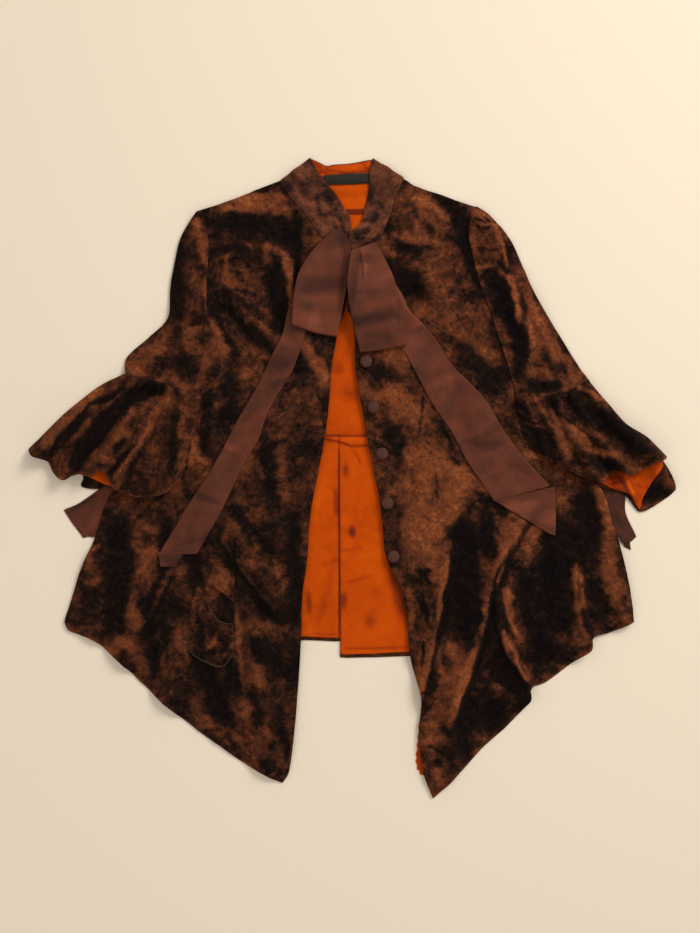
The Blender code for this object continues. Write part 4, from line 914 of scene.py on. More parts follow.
class Pile:
    """The height of all that is laid so far, as a map of cells."""

    def __init__(self):
        """An empty map, all at zero."""
        self.top = np.zeros((CELLS_DOWN, CELLS_ACROSS))

    def under(self, plan, reach):
        """The highest cell within reach, evened out over the same reach, so cloth spans hollows."""
        high = self.top
        for axis in (0, 1):
            high = np.max([shifted(high, step, axis) for step in range(-reach, reach + 1)], axis=0)
        for axis in (0, 1):
            high = np.mean([shifted(high, step, axis) for step in range(-reach, reach + 1)], axis=0)
        return read(high, (plan[..., 1] - FIRST_DOWN) / CELL, (plan[..., 0] - FIRST_ACROSS) / CELL)

    def add(self, plan, heights):
        """Each grid cell is filled in with points closer than the map's cells."""
        gaps = [np.linalg.norm(np.diff(plan, axis=axis), axis=2).max() for axis in (0, 1)]
        steps = [CELL / 2 / max(gap, CELL / 2) for gap in gaps]
        filled = [np.arange(0, count - 1 + ROUNDING, step) for count, step in zip(heights.shape, steps)]
        rows, columns = np.meshgrid(*filled, indexing="ij")
        across = read(plan[..., 0], rows, columns)
        down = read(plan[..., 1], rows, columns)
        i = np.round((down - FIRST_DOWN) / CELL).astype(int)
        j = np.round((across - FIRST_ACROSS) / CELL).astype(int)
        np.maximum.at(self.top, (i, j), read(heights, rows, columns))


def placed(plan, heights):
    """Plan points and heights, in millimetres, as points of the frame, in metres."""
    across, down = plan[..., 0], plan[..., 1]
    return np.stack([(across - MIDDLE_ACROSS) * MM, (MIDDLE_DOWN - down) * MM, heights * MM], axis=-1)


def facing(points):
    """Unit normals of a grid of points, from its steps down and across, pointing up on the whole."""
    normal = np.cross(np.gradient(points, axis=0), np.gradient(points, axis=1))
    normal = normal / np.maximum(np.linalg.norm(normal, axis=2, keepdims=True), TINY)
    return normal * np.sign(normal[..., 2:].sum())


def run_of(points, axis):
    """The length along a grid's lines from their start, in metres."""
    step = np.linalg.norm(np.diff(points, axis=axis), axis=2)
    zero = np.zeros_like(np.take(step, [0], axis=axis))
    return np.concatenate([zero, np.cumsum(step, axis=axis)], axis=axis)


def piece(name, solid, points, faces, finish, tone, cloth=None):
    """A smooth mesh from arrays, which rides on the coat and stands for its CAD solid, if any. Its
    tone is an attribute, and its place on the cloth is a UV map."""
    mesh = bpy.data.meshes.new(name)
    mesh.from_pydata(points.reshape(-1, 3).tolist(), [], faces)
    mesh.materials.append(finish)
    mesh.shade_smooth()
    tones = mesh.attributes.new("tone", "FLOAT", "POINT")
    tones.data.foreach_set("value", tone.ravel().astype(np.float32))
    if cloth is not None:
        corner = np.empty(len(mesh.loops), int)
        mesh.loops.foreach_get("vertex_index", corner)
        mesh.uv_layers.new(name="cloth").data.foreach_set("uv", cloth.reshape(-1, 2)[corner].ravel())
    made = bpy.data.objects.new(name, mesh)
    bpy.context.scene.collection.objects.link(made)
    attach(made, "root")
    if solid:
        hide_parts(solid)
    return made


def shell(name, solid, middle, wall, finish, tone):
    """A wall on both sides of a middle surface, half its thickness each way along the normals,
    with a rounded rim. Faces: the upper grid, the lower grid turned over, and two rim strips."""
    rows, columns = middle.shape[:2]
    normal = facing(middle)
    half = wall * MM / 2
    ring = np.concatenate([
        np.arange(columns), columns * np.arange(2, rows + 1) - 1,
        columns * rows - 2 - np.arange(columns - 1), columns * np.arange(rows - 2, 0, -1),
    ])
    flat, level = middle.reshape(-1, 3), np.full((rows, columns), half)
    outer = flat[ring] + RIM_ROLL * half * outwards(middle).reshape(-1, 3)[ring]
    level[0], level[-1], level[:, 0], level[:, -1] = [RIM_DROP * half] * 4
    upper, lower = middle + normal * level[..., None], middle - normal * level[..., None]
    lower[..., 2] = np.maximum(lower[..., 2], 0.0)
    points = np.concatenate([upper.reshape(-1, 3), lower.reshape(-1, 3), outer])
    number = np.arange(rows * columns).reshape(rows, columns)
    corners = [number[:-1, :-1], number[1:, :-1], number[1:, 1:], number[:-1, 1:]]
    grid = np.stack(corners, axis=-1).reshape(-1, 4)
    count = rows * columns
    middle_ring = 2 * count + np.arange(len(ring))
    following = np.roll(np.arange(len(ring)), -1)
    strips = [
        np.stack([ring, ring[following], middle_ring[following], middle_ring], axis=1),
        np.stack([middle_ring, middle_ring[following], count + ring[following], count + ring], axis=1),
    ]
    faces = np.concatenate([grid, grid[:, ::-1] + count, *strips])
    across, along = run_of(middle, 1), run_of(middle, 0)
    cloth = np.stack([across, along], axis=-1).reshape(-1, 2)
    cloth = np.concatenate([cloth, cloth, cloth[ring]])
    tone = np.concatenate([tone.ravel(), tone.ravel(), tone.ravel()[ring]])
    made = piece(name, solid, points, faces.tolist(), finish, tone, cloth)
    cells = np.cross(middle[1:, 1:] - middle[:-1, :-1], middle[1:, :-1] - middle[:-1, 1:])
    area = np.linalg.norm(cells, axis=2).sum() / 2
    return made, (float(across[:, -1].max()), float(along[-1].max()), float(area))


def outwards(middle):
    """At the border of a grid: the direction that leads away from it, in its surface."""
    out = np.zeros_like(middle)
    out[0], out[-1] = middle[0] - middle[1], middle[-1] - middle[-2]
    out[:, 0], out[:, -1] = middle[:, 0] - middle[:, 1], middle[:, -1] - middle[:, -2]
    return out / np.maximum(np.linalg.norm(out, axis=2, keepdims=True), TINY)


def pile_noise(plan, loose, pile, streak):
    """Noise in the tone: clouds, blots and specks, less thin dark veins that are painted shade in fine
    creases, as strong as the pile, and streaks along the cloth, of which a share stays where there
    is no pile."""
    flat_cloth = placed(plan, np.zeros(plan.shape[:2]))
    grain = np.stack([run_of(flat_cloth, 1), run_of(flat_cloth, 0)], axis=-1) / MM
    streaks = layered(stirred(grain, STREAK_STIR), np.array(streak), *STREAKS)
    clouds = layered(loose, *CLOUDS)
    blots = layered(stirred(plan, BLOT_STIR), *BLOTS)
    specks = layered(stirred(plan, SPECK_STIR), *SPECKS)
    veined = eased(layered(plan, *VEIN_PATCHES) * 1.6 + 0.35)
    veins = crushed(stirred(plan, VEIN_STIR), *VEINS) ** 3 * veined
    noisy = CLOUD_TONE * clouds + BLOT_TONE * blots + SPECK_TONE * specks - VEIN_SHADE * veins
    return pile * noisy + STREAK_TONE * (BARE_STREAKS + (1 - BARE_STREAKS) * pile) * streaks


def lay(name, edges, cells, wall, finish, marks=(), folds=(), air=None, crush=0.0,
        base=0.5, reach=3, size=46, flat=False, laps=(), stir=1.0, streak=(15, 60),
        slope=1.0, mottle=1.0, sewn=(), hems=(), solid=None):
    """Lays a piece on the pile. Its height is what it rests on, with air, folds, laps, marks and a
    crushed relief added, and sewn edges drawn down. Its tone is the marks, the painted highlight
    and shadow at the laps, painted light and shade by its slope, a painted highlight along its
    hems and the pile's noise, eased off towards dark and light. It stands for the solid of its own
    name, unless another is given, or none with "" for it."""
    plan = cut_out(edges, *cells)
    plan = plan + EDGE_WANDER * np.stack([layered(plan, *row) for row in EDGE_NOISE], axis=-1)
    loose = stirred(stirred(plan, MARK_STIR, stir), FINE_STIR, stir)
    tone, relief = marked(loose, marks)
    lap_painted_light, lap_height = lapped(stirred(plan, LAP_STIR, stir), laps)
    heights = fold_height(stirred(plan, FOLD_STIR, stir), folds) + lap_height
    if air is not None:
        heights = heights + puff(plan, *air)
    heights = heights + crush * crushed(stirred(plan, CREASE_STIR), size, CREASE_SEED)
    heights = np.maximum(heights + relief * (1 if crush else PLAIN_RELIEF), 0)
    if not flat:
        heights = heights + PILE.under(plan, reach) + SEAM_GAP
    if sewn:
        drawn = 1 - eased(nearness(plan, sewn) / SEAM_REACH)
        heights = heights - (wall + SEAM_GAP - SEAM_STEP) * drawn
    middle = placed(plan, np.maximum(heights, 0) + wall / 2)
    # Painted highlight and shadow at the laps, and painted light and shade by the slope.
    tone = base + tone + lap_painted_light + slope * painted_slope_light(middle)
    tone = tone + pile_noise(plan, loose, min(crush, 1.0) * mottle, streak)
    # A painted highlight along the hems.
    if hems:
        tone = tone + HEM_HIGHLIGHT * (1 - eased(nearness(plan, hems) / HEM_RIM))
    tone = TONE_MIDDLE + TONE_REACH * np.tanh((tone - TONE_MIDDLE) / TONE_REACH)
    PILE.add(plan, heights + wall)
    solid = name.removeprefix("cloth_") if solid is None else solid
    made, measured = shell(name, solid, middle, wall, finish, tone)


def painted_slope_light(middle):
    """Painted light and shade: a surface that faces the light, from the neck's side, is painted
    lighter, and the other darker.
    """
    normal = facing(middle)
    return SLOPE_LIGHT * normal[..., 1] - SLOPE_SIDE * SLOPE_LIGHT * normal[..., 0]


def laid_fronts():
    """The two fronts, which reach past the back in long points."""
    right = {"top": SHOULDER_RIGHT, "left": SIDE_RIGHT, "bottom": HEM_RIGHT, "right": EDGE_RIGHT}
    left = {"top": SHOULDER_LEFT, "left": EDGE_LEFT, "bottom": HEM_LEFT, "right": SIDE_LEFT}
    for side, edges, folds, marks, laps, base, seams in (
        ("right", right, FOLDS_FRONT_RIGHT, MARKS_FRONT_RIGHT, LAPS_FRONT_RIGHT, 0.40,
         [SHOULDER_RIGHT, SIDE_RIGHT, HEM_RIGHT]),
        ("left", left, FOLDS_FRONT_LEFT, MARKS_FRONT_LEFT, LAPS_FRONT_LEFT, 0.49,
         [SHOULDER_LEFT, SIDE_LEFT, HEM_LEFT]),
    ):
        lay(
            f"cloth_front_{side}", edges, (140, 320), VELVET_WALL, VELVET,
            marks, folds, (seams, BODY_PUFF), crush=3.2, reach=5,
            base=base, laps=laps, hems=seams[2:],
        )


def laid_back():
    """The two back halves, flat on the table, and the back stretch of the collar."""
    right = {
        "top": SHOULDER_RIGHT[:-1] + BACK_NECK_RIGHT,
        "left": moved_in(SIDE_RIGHT, SEAM_ROLL),
        "bottom": BACK_HEM_RIGHT,
        "right": BACK_SEAM_RIGHT,
    }
    left = {
        "top": BACK_NECK_LEFT + SHOULDER_LEFT[1:],
        "left": BACK_SEAM_LEFT,
        "bottom": BACK_HEM_LEFT,
        "right": moved_in(SIDE_LEFT, SEAM_ROLL),
    }
    right["top"][0] = right["left"][0]
    left["top"][-1] = left["right"][0]
    for side, edges in (("right", right), ("left", left)):
        lay(
            f"cloth_back_{side}", edges, (46, 80), VELVET_WALL, VELVET, MARKS_BACK,
            flat=True,
        )
    lay(
        "cloth_collar_back", COLLAR_BACK, (90, 24), VELVET_WALL, COLLAR_VELVET,
        crush=0.5, size=14,
    )


def laid_lining():
    """The lining that shows between the fronts and in the neck, the label and the neck tape."""
    backs = ["cloth_back_right", "cloth_back_left"]
    for name, edges, cells, rests_on in (
        ("lining_bodice", LINING_BODICE, (60, 100), backs),
        ("lining_skirt_right", LINING_SKIRT_RIGHT, (50, 120), backs[:1]),
        ("lining_skirt_left", LINING_SKIRT_LEFT, (60, 130), backs[1:]),
    ):
        lay(
            f"cloth_{name}", edges, cells, SILK_WALL, LINING, MARKS_LINING, crush=0.9,
            reach=2, base=0.60, size=30, stir=0.1, slope=0.5, streak=(30, 90), mottle=0.3,
        )
    lay(
        "cloth_collar_lining", COLLAR_LINING, (90, 24), SILK_WALL, LINING,
        marks=MARKS_NECK, crush=0.5, base=0.46, size=18, slope=0.6, mottle=0.5, stir=0.4,
    )
    lay("cloth_label", LABEL, (50, 12), SILK_WALL, LABEL_WEAVE, reach=2)
    lay(
        "cloth_neck_tape", NECK_TAPE, (50, 8), SILK_WALL, RUST_TAPE, reach=1,
        base=0.4,
    )


def sleeve_edges(side, outer, inner, gather):
    """A sleeve's four edges; the outer one is on the left of the right sleeve."""
    edges = {"left": outer, "right": inner} if side == "right" else {"left": inner, "right": outer}
    edges["top"] = [edges["left"][0], edges["right"][0]]
    edges["bottom"] = [edges["left"][-1], *gather[1:-1], edges["right"][-1]]
    return edges


def laid_under_sleeves():
    """The under half of each sleeve, flat on the table beside the back."""
    for side, outer, inner, gather in (
        ("right", SLEEVE_OUTER_RIGHT, SLEEVE_INNER_RIGHT, GATHER_RIGHT),
        ("left", SLEEVE_OUTER_LEFT, SLEEVE_INNER_LEFT, GATHER_LEFT),
    ):
        edges = sleeve_edges(side, moved_in(outer, SEAM_ROLL / 2), inner, gather)
        lay(
            f"cloth_under_sleeve_{side}", edges, (30, 80), VELVET_WALL, VELVET,
        )


def laid_sleeves():
    """The upper half of each sleeve, lapped on the front at the armhole."""
    for side, outer, inner, gather, folds, marks, base in (
        ("right", SLEEVE_OUTER_RIGHT, SLEEVE_INNER_RIGHT, GATHER_RIGHT, FOLDS_SLEEVE_RIGHT,
         MARKS_SLEEVE_RIGHT, 0.47),
        ("left", SLEEVE_OUTER_LEFT, SLEEVE_INNER_LEFT, GATHER_LEFT, FOLDS_SLEEVE_LEFT,
         MARKS_SLEEVE_LEFT, 0.50),
    ):
        edges = sleeve_edges(side, outer, inner, gather)
        lay(
            f"cloth_sleeve_{side}", edges, (64, 130), VELVET_WALL, VELVET,
            marks, folds,
            ([outer, inner], SLEEVE_PUFF), crush=2.2, reach=4, base=base, slope=0.7, sewn=[inner],
        )


def laid_under_flounces():
    """The under layer of each flounce and its lining, gathered at the under sleeve's end."""
    for side, under, lining, folds, marks, lining_marks in (
        ("right", FLOUNCE_UNDER_RIGHT, FLOUNCE_LINING_RIGHT, (), MARKS_UNDER_RIGHT, ()),
        ("left", FLOUNCE_UNDER_LEFT, FLOUNCE_LINING_LEFT, FOLDS_UNDER_LEFT, MARKS_UNDER_LEFT,
         MARKS_LINING_LEFT),
    ):
        lay(
            f"cloth_flounce_under_{side}", under, (84, 44), VELVET_WALL, VELVET,
            marks, folds, crush=1.4,
            base=0.42, slope=0.4,
        )
        lay(
            f"cloth_flounce_lining_{side}", lining, (84, 44), SILK_WALL, LINING,
            lining_marks, crush=1.2, base=0.48,
            size=20, stir=0.2, slope=0.5,
        )


def laid_flounces():
    """The upper layer of each flounce, gathered at the sleeve's end and sewn down at its side."""
    for side, edges, sewn_side, folds, marks in (
        ("right", FLOUNCE_RIGHT, "right", FOLDS_FLOUNCE_RIGHT, MARKS_FLOUNCE_RIGHT),
        ("left", FLOUNCE_LEFT, "left", FOLDS_FLOUNCE_LEFT, MARKS_FLOUNCE_LEFT),
    ):
        lay(
            f"cloth_flounce_{side}", edges, (170, 80), VELVET_WALL, VELVET,
            marks, folds,
            ([edges["top"], edges["left"], edges["right"]], FLOUNCE_PUFF), crush=1.4,
            base=0.47, slope=0.22, streak=(7, 60), size=26, sewn=[edges["top"], edges[sewn_side]],
            hems=[edges["bottom"]],
        )


def laid_collar():
    """The two front stretches of the stand collar, folded down on the fronts."""
    for side, edges, folds, marks in (
        ("right", COLLAR_FRONT_RIGHT, FOLDS_COLLAR_RIGHT, MARKS_COLLAR_RIGHT),
        ("left", COLLAR_FRONT_LEFT, FOLDS_COLLAR_LEFT, MARKS_COLLAR_LEFT),
    ):
        lay(
            f"cloth_collar_front_{side}", edges, (44, 120), VELVET_WALL, COLLAR_VELVET,
            marks, folds, crush=0.9, size=15, base=0.59,
            sewn=[edges["left" if side == "right" else "right"]],
        )


def laid_ribbons():
    """The bow's tails on the fronts, each with a turned end."""
    for name, edges, cells, rests_on, marks, base in (
        ("tail_right", TAIL_RIGHT, (24, 120), ["cloth_front_right"], MARKS_TAIL_RIGHT, 0.42),
        ("tail_left", TAIL_LEFT, (32, 120), ["cloth_front_left"], MARKS_TAIL_LEFT, 0.46),
        ("tail_end_right", TAIL_END_RIGHT, (26, 14), ["cloth_front_right", "cloth_tail_right"], (), 0.46),
        ("tail_end_left", TAIL_END_LEFT, (50, 40), ["cloth_front_left", "cloth_tail_left"], (), 0.46),
    ):
        lay(
            f"cloth_{name}", edges, cells, RIBBON_WALL, RIBBON, marks, crush=0.5, size=60,
            mottle=0.4, base=base,
        )


def laid_cuff_ribbons():
    """The ribbon ends that show below the flounces."""
    for name, edges, cells, base in (
        ("cuff_ribbon_right", CUFF_RIBBON_RIGHT, (50, 50), 0.4),
        ("cuff_ribbon_left_end", CUFF_RIBBON_LEFT_END, (16, 20), 0.25),
        ("cuff_ribbon_left", CUFF_RIBBON_LEFT, (40, 60), 0.25),
    ):
        lay(
            f"cloth_{name}", edges, cells, RIBBON_WALL, RIBBON, MARKS_CUFF, crush=0.6,
            size=40, mottle=0.5, base=base,
        )


def laid_frayed_lining():
    """The frayed edge of the left front's lining, which shows beside its point and has no solid."""
    lay(
        "cloth_frayed_lining", FRAYED_LINING, (14, 90), SILK_WALL, LINING, base=0.42,
        solid="",
    )


def bow_loop(side, edges, marks):
    """A ribbon loop: an upper layer in a low arch, which turns at its lower end in a half circle and
    runs back underneath."""
    plan = cut_out(edges, 40, 80)
    rows = plan.shape[0]
    share = np.linspace(0, 1, rows)[:, None]
    lower = PILE.under(plan, 3) + SEAM_GAP + RIBBON_WALL / 2
    tone, relief = marked(stirred(plan, LOOP_STIR), marks)
    arch = np.sin(np.pi * (LOOP_ARCH[0] + LOOP_ARCH[1] * share))
    upper = lower + LOOP_GAP * RIBBON_WALL + LOOP_LOFT * arch + relief
    upper = np.maximum(upper, lower + LOOP_LEAST * RIBBON_WALL)
    turn = np.linspace(0, np.pi, LOOP_TURN + 2)[1:-1, None]
    radius = (upper[-1] - lower[-1]) / 2
    ahead = plan[-1] - plan[-2]
    ahead = ahead / np.linalg.norm(ahead, axis=1, keepdims=True)
    turn_plan = plan[-1] + ahead * (np.sin(turn) * radius * LOOP_ROUND)[..., None]
    turn_height = (upper[-1] + lower[-1]) / 2 + np.cos(turn) * radius
    middle_line = plan.mean(axis=1, keepdims=True)
    inset = middle_line + (plan - middle_line) * LOOP_INSET
    plan_all = np.concatenate([plan, turn_plan, inset[::-1]])
    middle = placed(plan_all, np.concatenate([upper, turn_height, lower[::-1]]))
    tone = np.concatenate([tone, np.repeat(tone[-1:], LOOP_TURN, axis=0), tone[::-1]]) + 0.5
    # Painted light and shade by the slope, on the upper layer only.
    tone = tone + painted_slope_light(middle) * np.where(np.arange(len(tone)) < rows, 1, 0)[:, None]
    PILE.add(plan, upper + RIBBON_WALL / 2)
    made, measured = shell(f"cloth_loop_{side}", f"loop_{side}", middle, RIBBON_WALL, RIBBON, tone)


def laid_bow():
    """The bow: its tails on the fronts, and its two loops over them."""
    laid_ribbons()
    bow_loop("right", LOOP_RIGHT, MARKS_LOOP_RIGHT)
    bow_loop("left", LOOP_LEFT, MARKS_LOOP_LEFT)


def ring_faces(rings, steps):
    """Faces from each ring of points to the next, and a cap on the first and the last ring."""
    number = np.arange(rings * steps).reshape(rings, steps)
    following = np.roll(number, -1, axis=1)
    sides = np.stack([number[:-1], number[1:], following[1:], following[:-1]], axis=-1).reshape(-1, 4)
    return sides.tolist() + [number[0].tolist(), number[-1, ::-1].tolist()]


def button(number, across, down):
    """A covered button: its outline turned about the middle, with small tucks in the cover."""
    outline = np.array(BUTTON_OUTLINE)
    angle = np.linspace(0, 2 * np.pi, BUTTON_STEPS, endpoint=False)[None]
    share, high = outline[:, :1], outline[:, 1:]
    near_rim = np.clip(share - 0.6, 0, 1) * 2.5
    radius = share * BUTTON_RADIUS * (1 + TUCK_DEPTH * np.sin(BUTTON_TUCKS * angle + number) * near_rim)
    rim = np.stack([
        across + BUTTON_RADIUS * np.cos(angle), down + BUTTON_RADIUS * np.sin(angle),
    ], axis=-1)
    seat = PILE.under(rim, 1).max() + BUTTON_SEAT
    plan = np.stack([across + radius * np.cos(angle), down - radius * np.sin(angle)], axis=-1)
    dimple = DIMPLE_DEPTH * np.cos(DIMPLES * angle + number) * share * (1 - share)
    points = placed(plan, seat + (high + dimple) * BUTTON_HEIGHT)
    tone = np.full(points.shape[:2], 0.5)
    piece(
        f"button_{number}_cover", f"button_{number}", points, ring_faces(*points.shape[:2]),
        BUTTON_SILK, tone, points[..., :2].copy(),
    )


def laid_buttons():
    """The five covered buttons on the left front's edge."""
    for number, (across, down) in enumerate(BUTTONS, start=1):
        button(number, across, down)


def piping(name, line):
    """A round cord sewn along a line: a ring carried along it, thin and closed at both ends."""
    ahead = np.gradient(line, axis=0)
    side = np.stack([-ahead[:, 1], ahead[:, 0]], axis=1) / np.linalg.norm(ahead, axis=1, keepdims=True)
    angle = np.linspace(0, 2 * np.pi, PIPING_STEPS, endpoint=False)[None, :, None]
    fullness = 0.35 + 0.65 * eased(6 * np.sin(np.pi * np.linspace(0, 1, len(line))))
    swell = (PIPING_RADIUS * fullness)[:, None, None]
    plan = line[:, None] + side[:, None] * np.cos(angle) * swell
    middle = PILE.under(line[None], 1)[0] + PIPING_RISE
    points = placed(plan, middle[:, None] + (np.sin(angle) * swell)[..., 0])
    rings, steps = points.shape[:2]
    tone = 0.5 + 0.25 * np.sin(np.arange(rings) * 1.3)[:, None] * np.ones((1, steps))
    piece(name, None, points, ring_faces(rings, steps), PIPING, tone)


def laid_pocket():
    """The patch pocket, with piping on its mouth and its free edge, and its flap."""
    for name, edges, cells, crush, base, marks, sewn in (
        ("pocket_flap", POCKET_FLAP, (40, 40), 1.2, 0.56, MARKS_POCKET_FLAP, ("top", "right", "left")),
        ("pocket", POCKET, (60, 60), 1.4, 0.42, MARKS_POCKET, ("left", "right", "bottom")),
    ):
        lay(
            f"cloth_{name}", edges, cells, VELVET_WALL, VELVET, marks,
            crush=crush, reach=2, base=base, sewn=[edges[side] for side in sewn],
        )
    for name, line in (
        ("pocket_mouth_piping", POCKET["top"][1:]),
        ("pocket_edge_piping", POCKET["left"][2:] + POCKET["bottom"][1:]),
    ):
        piping(name, edge_line(line, PIPING_POINTS))


# Materials.
def node(tree, kind, **settings):
    """Adds a shader node with these settings."""
    made = tree.nodes.new(kind)
    for name, value in settings.items():
        setattr(made, name, value)
    return made


def join(tree, *ends):
    """Links outputs to inputs, two by two."""
    for start, end in zip(ends[::2], ends[1::2]):
        tree.links.new(start, end)


def reckoned(tree, operation, first, second=0):
    """A Math node on two links or numbers."""
    made = node(tree, "ShaderNodeMath", operation=operation)
    for socket, value in zip(made.inputs, (first, second)):
        if isinstance(value, (int, float)):
            socket.default_value = value
        else:
            tree.links.new(value, socket)
    return made.outputs[0]


def noise_node(tree, place, **values):
    """The value of a noise texture at a place, with these input values."""
    made = node(tree, "ShaderNodeTexNoise")
    for socket, value in values.items():
        made.inputs[socket].default_value = value
    tree.links.new(place, made.inputs["Vector"])
    return made.outputs[0]


def group(name, takes, gives):
    """An empty node group with named inputs and outputs; an input without a value is a vector."""
    tree = bpy.data.node_groups.new(name, "ShaderNodeTree")
    for socket, value in takes:
        kind = "NodeSocketVector" if value is None else "NodeSocketFloat"
        made = tree.interface.new_socket(name=socket, in_out="INPUT", socket_type=kind)
        if value is not None:
            made.default_value = value
    for socket in gives:
        tree.interface.new_socket(name=socket, in_out="OUTPUT", socket_type="NodeSocketFloat")
    return tree, node(tree, "NodeGroupInput").outputs, node(tree, "NodeGroupOutput").inputs


def pile_group():
    """Crushed pile: noise in three sizes moves the tone, and its height is the pile's surface.
    Thin creases run where a fourth noise passes its middle: sunk, and darkened with painted shade."""
    tree, given, result = group(
        "crushed pile", [("Place", None), ("Tone", 0.5), ("Spread", 1.0)], ["Tone", "Height"]
    )
    tone, height = given["Tone"], 0.0
    for scale, detail, strength, distortion in PILE_NOISE:
        value = noise_node(
            tree, given["Place"], Scale=scale, Detail=detail, Roughness=PILE_ROUGHNESS,
            Distortion=distortion,
        )
        step = reckoned(tree, "MULTIPLY", reckoned(tree, "SUBTRACT", value, 0.5), strength)
        height = reckoned(tree, "ADD", height, step)
        tone = reckoned(tree, "ADD", tone, reckoned(tree, "MULTIPLY", step, given["Spread"]))
    value = noise_node(tree, given["Place"], Scale=46, Detail=3, Distortion=1.6)
    off_middle = reckoned(tree, "ABSOLUTE", reckoned(tree, "SUBTRACT", value, 0.5))
    crease = reckoned(tree, "MAXIMUM", reckoned(tree, "SUBTRACT", CREASE_WIDTH, off_middle), 0)
    crease = reckoned(tree, "MULTIPLY", crease, given["Spread"])
    # Painted shade in the creases.
    tone = reckoned(tree, "SUBTRACT", tone, reckoned(tree, "MULTIPLY", crease, CREASE_SHADE))
    height = reckoned(tree, "SUBTRACT", height, reckoned(tree, "MULTIPLY", crease, CREASE_DEPTH))
    join(tree, tone, result["Tone"], height, result["Height"])
    return tree


def weave_group():
    """Woven silk: fine threads across and along, on the piece's own map, with slubs."""
    takes = [("Place", None), ("Tone", 0.5), ("Threads", 900.0), ("Rib", 0.25)]
    tree, given, result = group("silk weave", takes, ["Tone", "Height"])
    parts = node(tree, "ShaderNodeSeparateXYZ")
    tree.links.new(given["Place"], parts.inputs[0])
    number, height = CROSS_THREADS
    closer = reckoned(tree, "MULTIPLY", given["Threads"], number)
    across = reckoned(tree, "SINE", reckoned(tree, "MULTIPLY", parts.outputs[0], closer))
    along = reckoned(tree, "SINE", reckoned(tree, "MULTIPLY", parts.outputs[1], given["Threads"]))
    threads = reckoned(tree, "ADD", reckoned(tree, "MULTIPLY", across, height), along)
    slub = reckoned(tree, "SUBTRACT", noise_node(tree, given["Place"], Scale=60, Detail=4), 0.5)
    tone = reckoned(tree, "ADD", given["Tone"], reckoned(tree, "MULTIPLY", slub, SLUB_TONE))
    ribbed = reckoned(tree, "MULTIPLY", threads, reckoned(tree, "MULTIPLY", given["Rib"], THREAD_TONE))
    tone = reckoned(tree, "ADD", tone, ribbed)
    join(tree, tone, result["Tone"], reckoned(tree, "MULTIPLY", threads, given["Rib"]), result["Height"])
    return tree


def finish_of(name, tree_group, colours, roughness, bump, gloss, sheen=None, place="Object", **values):
    """A Principled BSDF: the group's tone goes through a colour ramp, its height through a bump. The
    values are the group's own."""
    made = bpy.data.materials.new(name)
    made.use_nodes = True
    tree = made.node_tree
    shader = tree.nodes["Principled BSDF"]
    source = node(tree, "ShaderNodeTexCoord").outputs[place]
    tone = node(tree, "ShaderNodeAttribute", attribute_type="GEOMETRY", attribute_name="tone")
    work = node(tree, "ShaderNodeGroup", node_tree=tree_group)
    for socket, value in values.items():
        work.inputs[socket].default_value = value
    join(tree, source, work.inputs["Place"], tone.outputs["Fac"], work.inputs["Tone"])
    ramp = node(tree, "ShaderNodeValToRGB")
    while len(ramp.color_ramp.elements) < len(colours):
        ramp.color_ramp.elements.new(0.5)
    for element, (position, colour) in zip(ramp.color_ramp.elements, colours):
        element.position = position
        element.color = (*colour, 1)
    rise = node(tree, "ShaderNodeBump")
    rise.inputs["Distance"].default_value = bump
    join(
        tree, work.outputs["Tone"], ramp.inputs[0], ramp.outputs[0], shader.inputs["Base Color"],
        work.outputs["Height"], rise.inputs["Height"], rise.outputs[0], shader.inputs["Normal"],
    )
    shader.inputs["Roughness"].default_value = roughness
    shader.inputs["Specular IOR Level"].default_value = gloss
    if sheen:
        weight, rough, tint = sheen
        shader.inputs["Sheen Weight"].default_value = weight
        shader.inputs["Sheen Roughness"].default_value = rough
        shader.inputs["Sheen Tint"].default_value = (*tint, 1)
    return made


def plain(name, colour, roughness):
    """A plain matt surface for the table."""
    made = bpy.data.materials.new(name)
    made.use_nodes = True
    shader = made.node_tree.nodes["Principled BSDF"]
    shader.inputs["Base Color"].default_value = (*colour, 1)
    shader.inputs["Roughness"].default_value = roughness
    return made


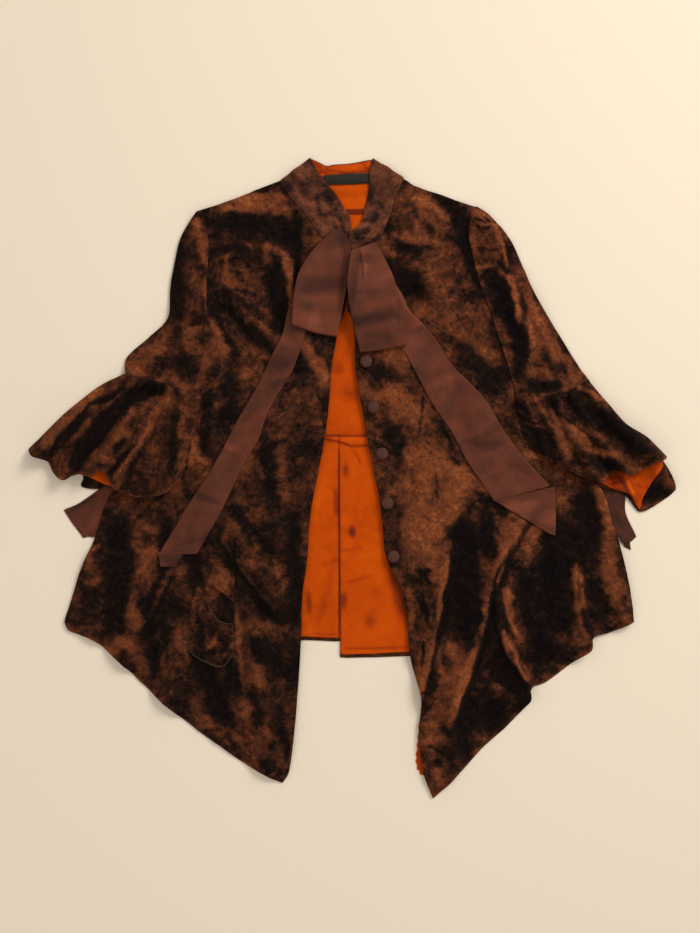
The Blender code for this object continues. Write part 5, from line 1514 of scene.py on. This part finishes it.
def stage():
    """A plain pale table top, soft light from the neck's side and from all round, and the camera."""
    mesh = bpy.data.meshes.new("floor")
    corners = [(-1, -1), (1, -1), (1, 1), (-1, 1)]
    points = [(x * TABLE_HALF, y * TABLE_HALF, TABLE_TOP) for x, y in corners]
    mesh.from_pydata(points, [], [(0, 1, 2, 3)])
    mesh.materials.append(plain("pale table", TABLE_COLOUR, TABLE_ROUGHNESS))
    floor = bpy.data.objects.new("floor", mesh)
    bpy.context.scene.collection.objects.link(floor)
    for name, place, size, power, colour in LAMPS:
        lamp = bpy.data.lights.new(name, "AREA")
        lamp.shape, lamp.size, lamp.energy, lamp.color = "SQUARE", size, power, colour
        holder = bpy.data.objects.new(name, lamp)
        holder.location = place
        holder.rotation_euler = (-Vector(place)).to_track_quat("-Z", "Y").to_euler()
        bpy.context.scene.collection.objects.link(holder)
    world = bpy.data.worlds.new("soft fill")
    world.use_nodes = True
    fill = world.node_tree.nodes["Background"]
    fill.inputs["Color"].default_value = (*FILL_COLOUR, 1)
    fill.inputs["Strength"].default_value = FILL
    bpy.context.scene.world = world
    lens = bpy.data.cameras.new("camera")
    lens.lens, lens.sensor_width, lens.sensor_fit = CAMERA_LENS, CAMERA_SENSOR, "AUTO"
    camera = bpy.data.objects.new("camera", lens)
    camera.location = CAMERA_PLACE
    bpy.context.scene.collection.objects.link(camera)
    bpy.context.scene.camera = camera
    bpy.context.scene.view_settings.view_transform = "Standard"


# Finishes. The bump is in metres.
PILE = Pile()
crushed_pile, silk_weave = pile_group(), weave_group()
VELVET = finish_of(
    "brown velvet", crushed_pile, VELVET_COLOURS, roughness=0.95, bump=0.0007, gloss=0.04,
    sheen=VELVET_SHEEN, Spread=1.1,
)
COLLAR_VELVET = finish_of(
    "collar velvet", crushed_pile, COLLAR_COLOURS, roughness=0.95, bump=0.0007, gloss=0.04,
    sheen=VELVET_SHEEN, Spread=1.0,
)
LINING = finish_of(
    "orange silk", silk_weave, LINING_COLOURS, roughness=0.6, bump=0.00006, gloss=0.04,
    place="UV", Threads=5200.0, Rib=0.3,
)
RIBBON = finish_of(
    "brown silk ribbon", silk_weave, RIBBON_COLOURS, roughness=0.6, bump=0.00008, gloss=0.08,
    place="UV", Threads=3600.0, Rib=0.5,
)
RUST_TAPE = finish_of(
    "rust brown tape", silk_weave, TAPE_COLOURS, roughness=0.7, bump=0.00012, gloss=0.04,
    place="UV", Threads=5000.0, Rib=0.5,
)
LABEL_WEAVE = finish_of(
    "dark woven tape", silk_weave, LABEL_COLOURS, roughness=0.8, bump=0.00012, gloss=0.08,
    place="UV", Threads=5000.0, Rib=0.8,
)
BUTTON_SILK = finish_of(
    "covered button silk", silk_weave, BUTTON_COLOURS, roughness=0.6, bump=0.0001, gloss=0.12,
    place="UV", Threads=4200.0, Rib=0.5,
)
PIPING = finish_of(
    "worn cord", crushed_pile, PIPING_COLOURS, roughness=0.85, bump=0.0008, gloss=0.05, Spread=1.0,
)

stage()
laid_back()
laid_lining()
laid_under_sleeves()
laid_cuff_ribbons()
laid_frayed_lining()
laid_fronts()
laid_pocket()
laid_under_flounces()
laid_sleeves()
laid_flounces()
laid_collar()
laid_buttons()
laid_bow()
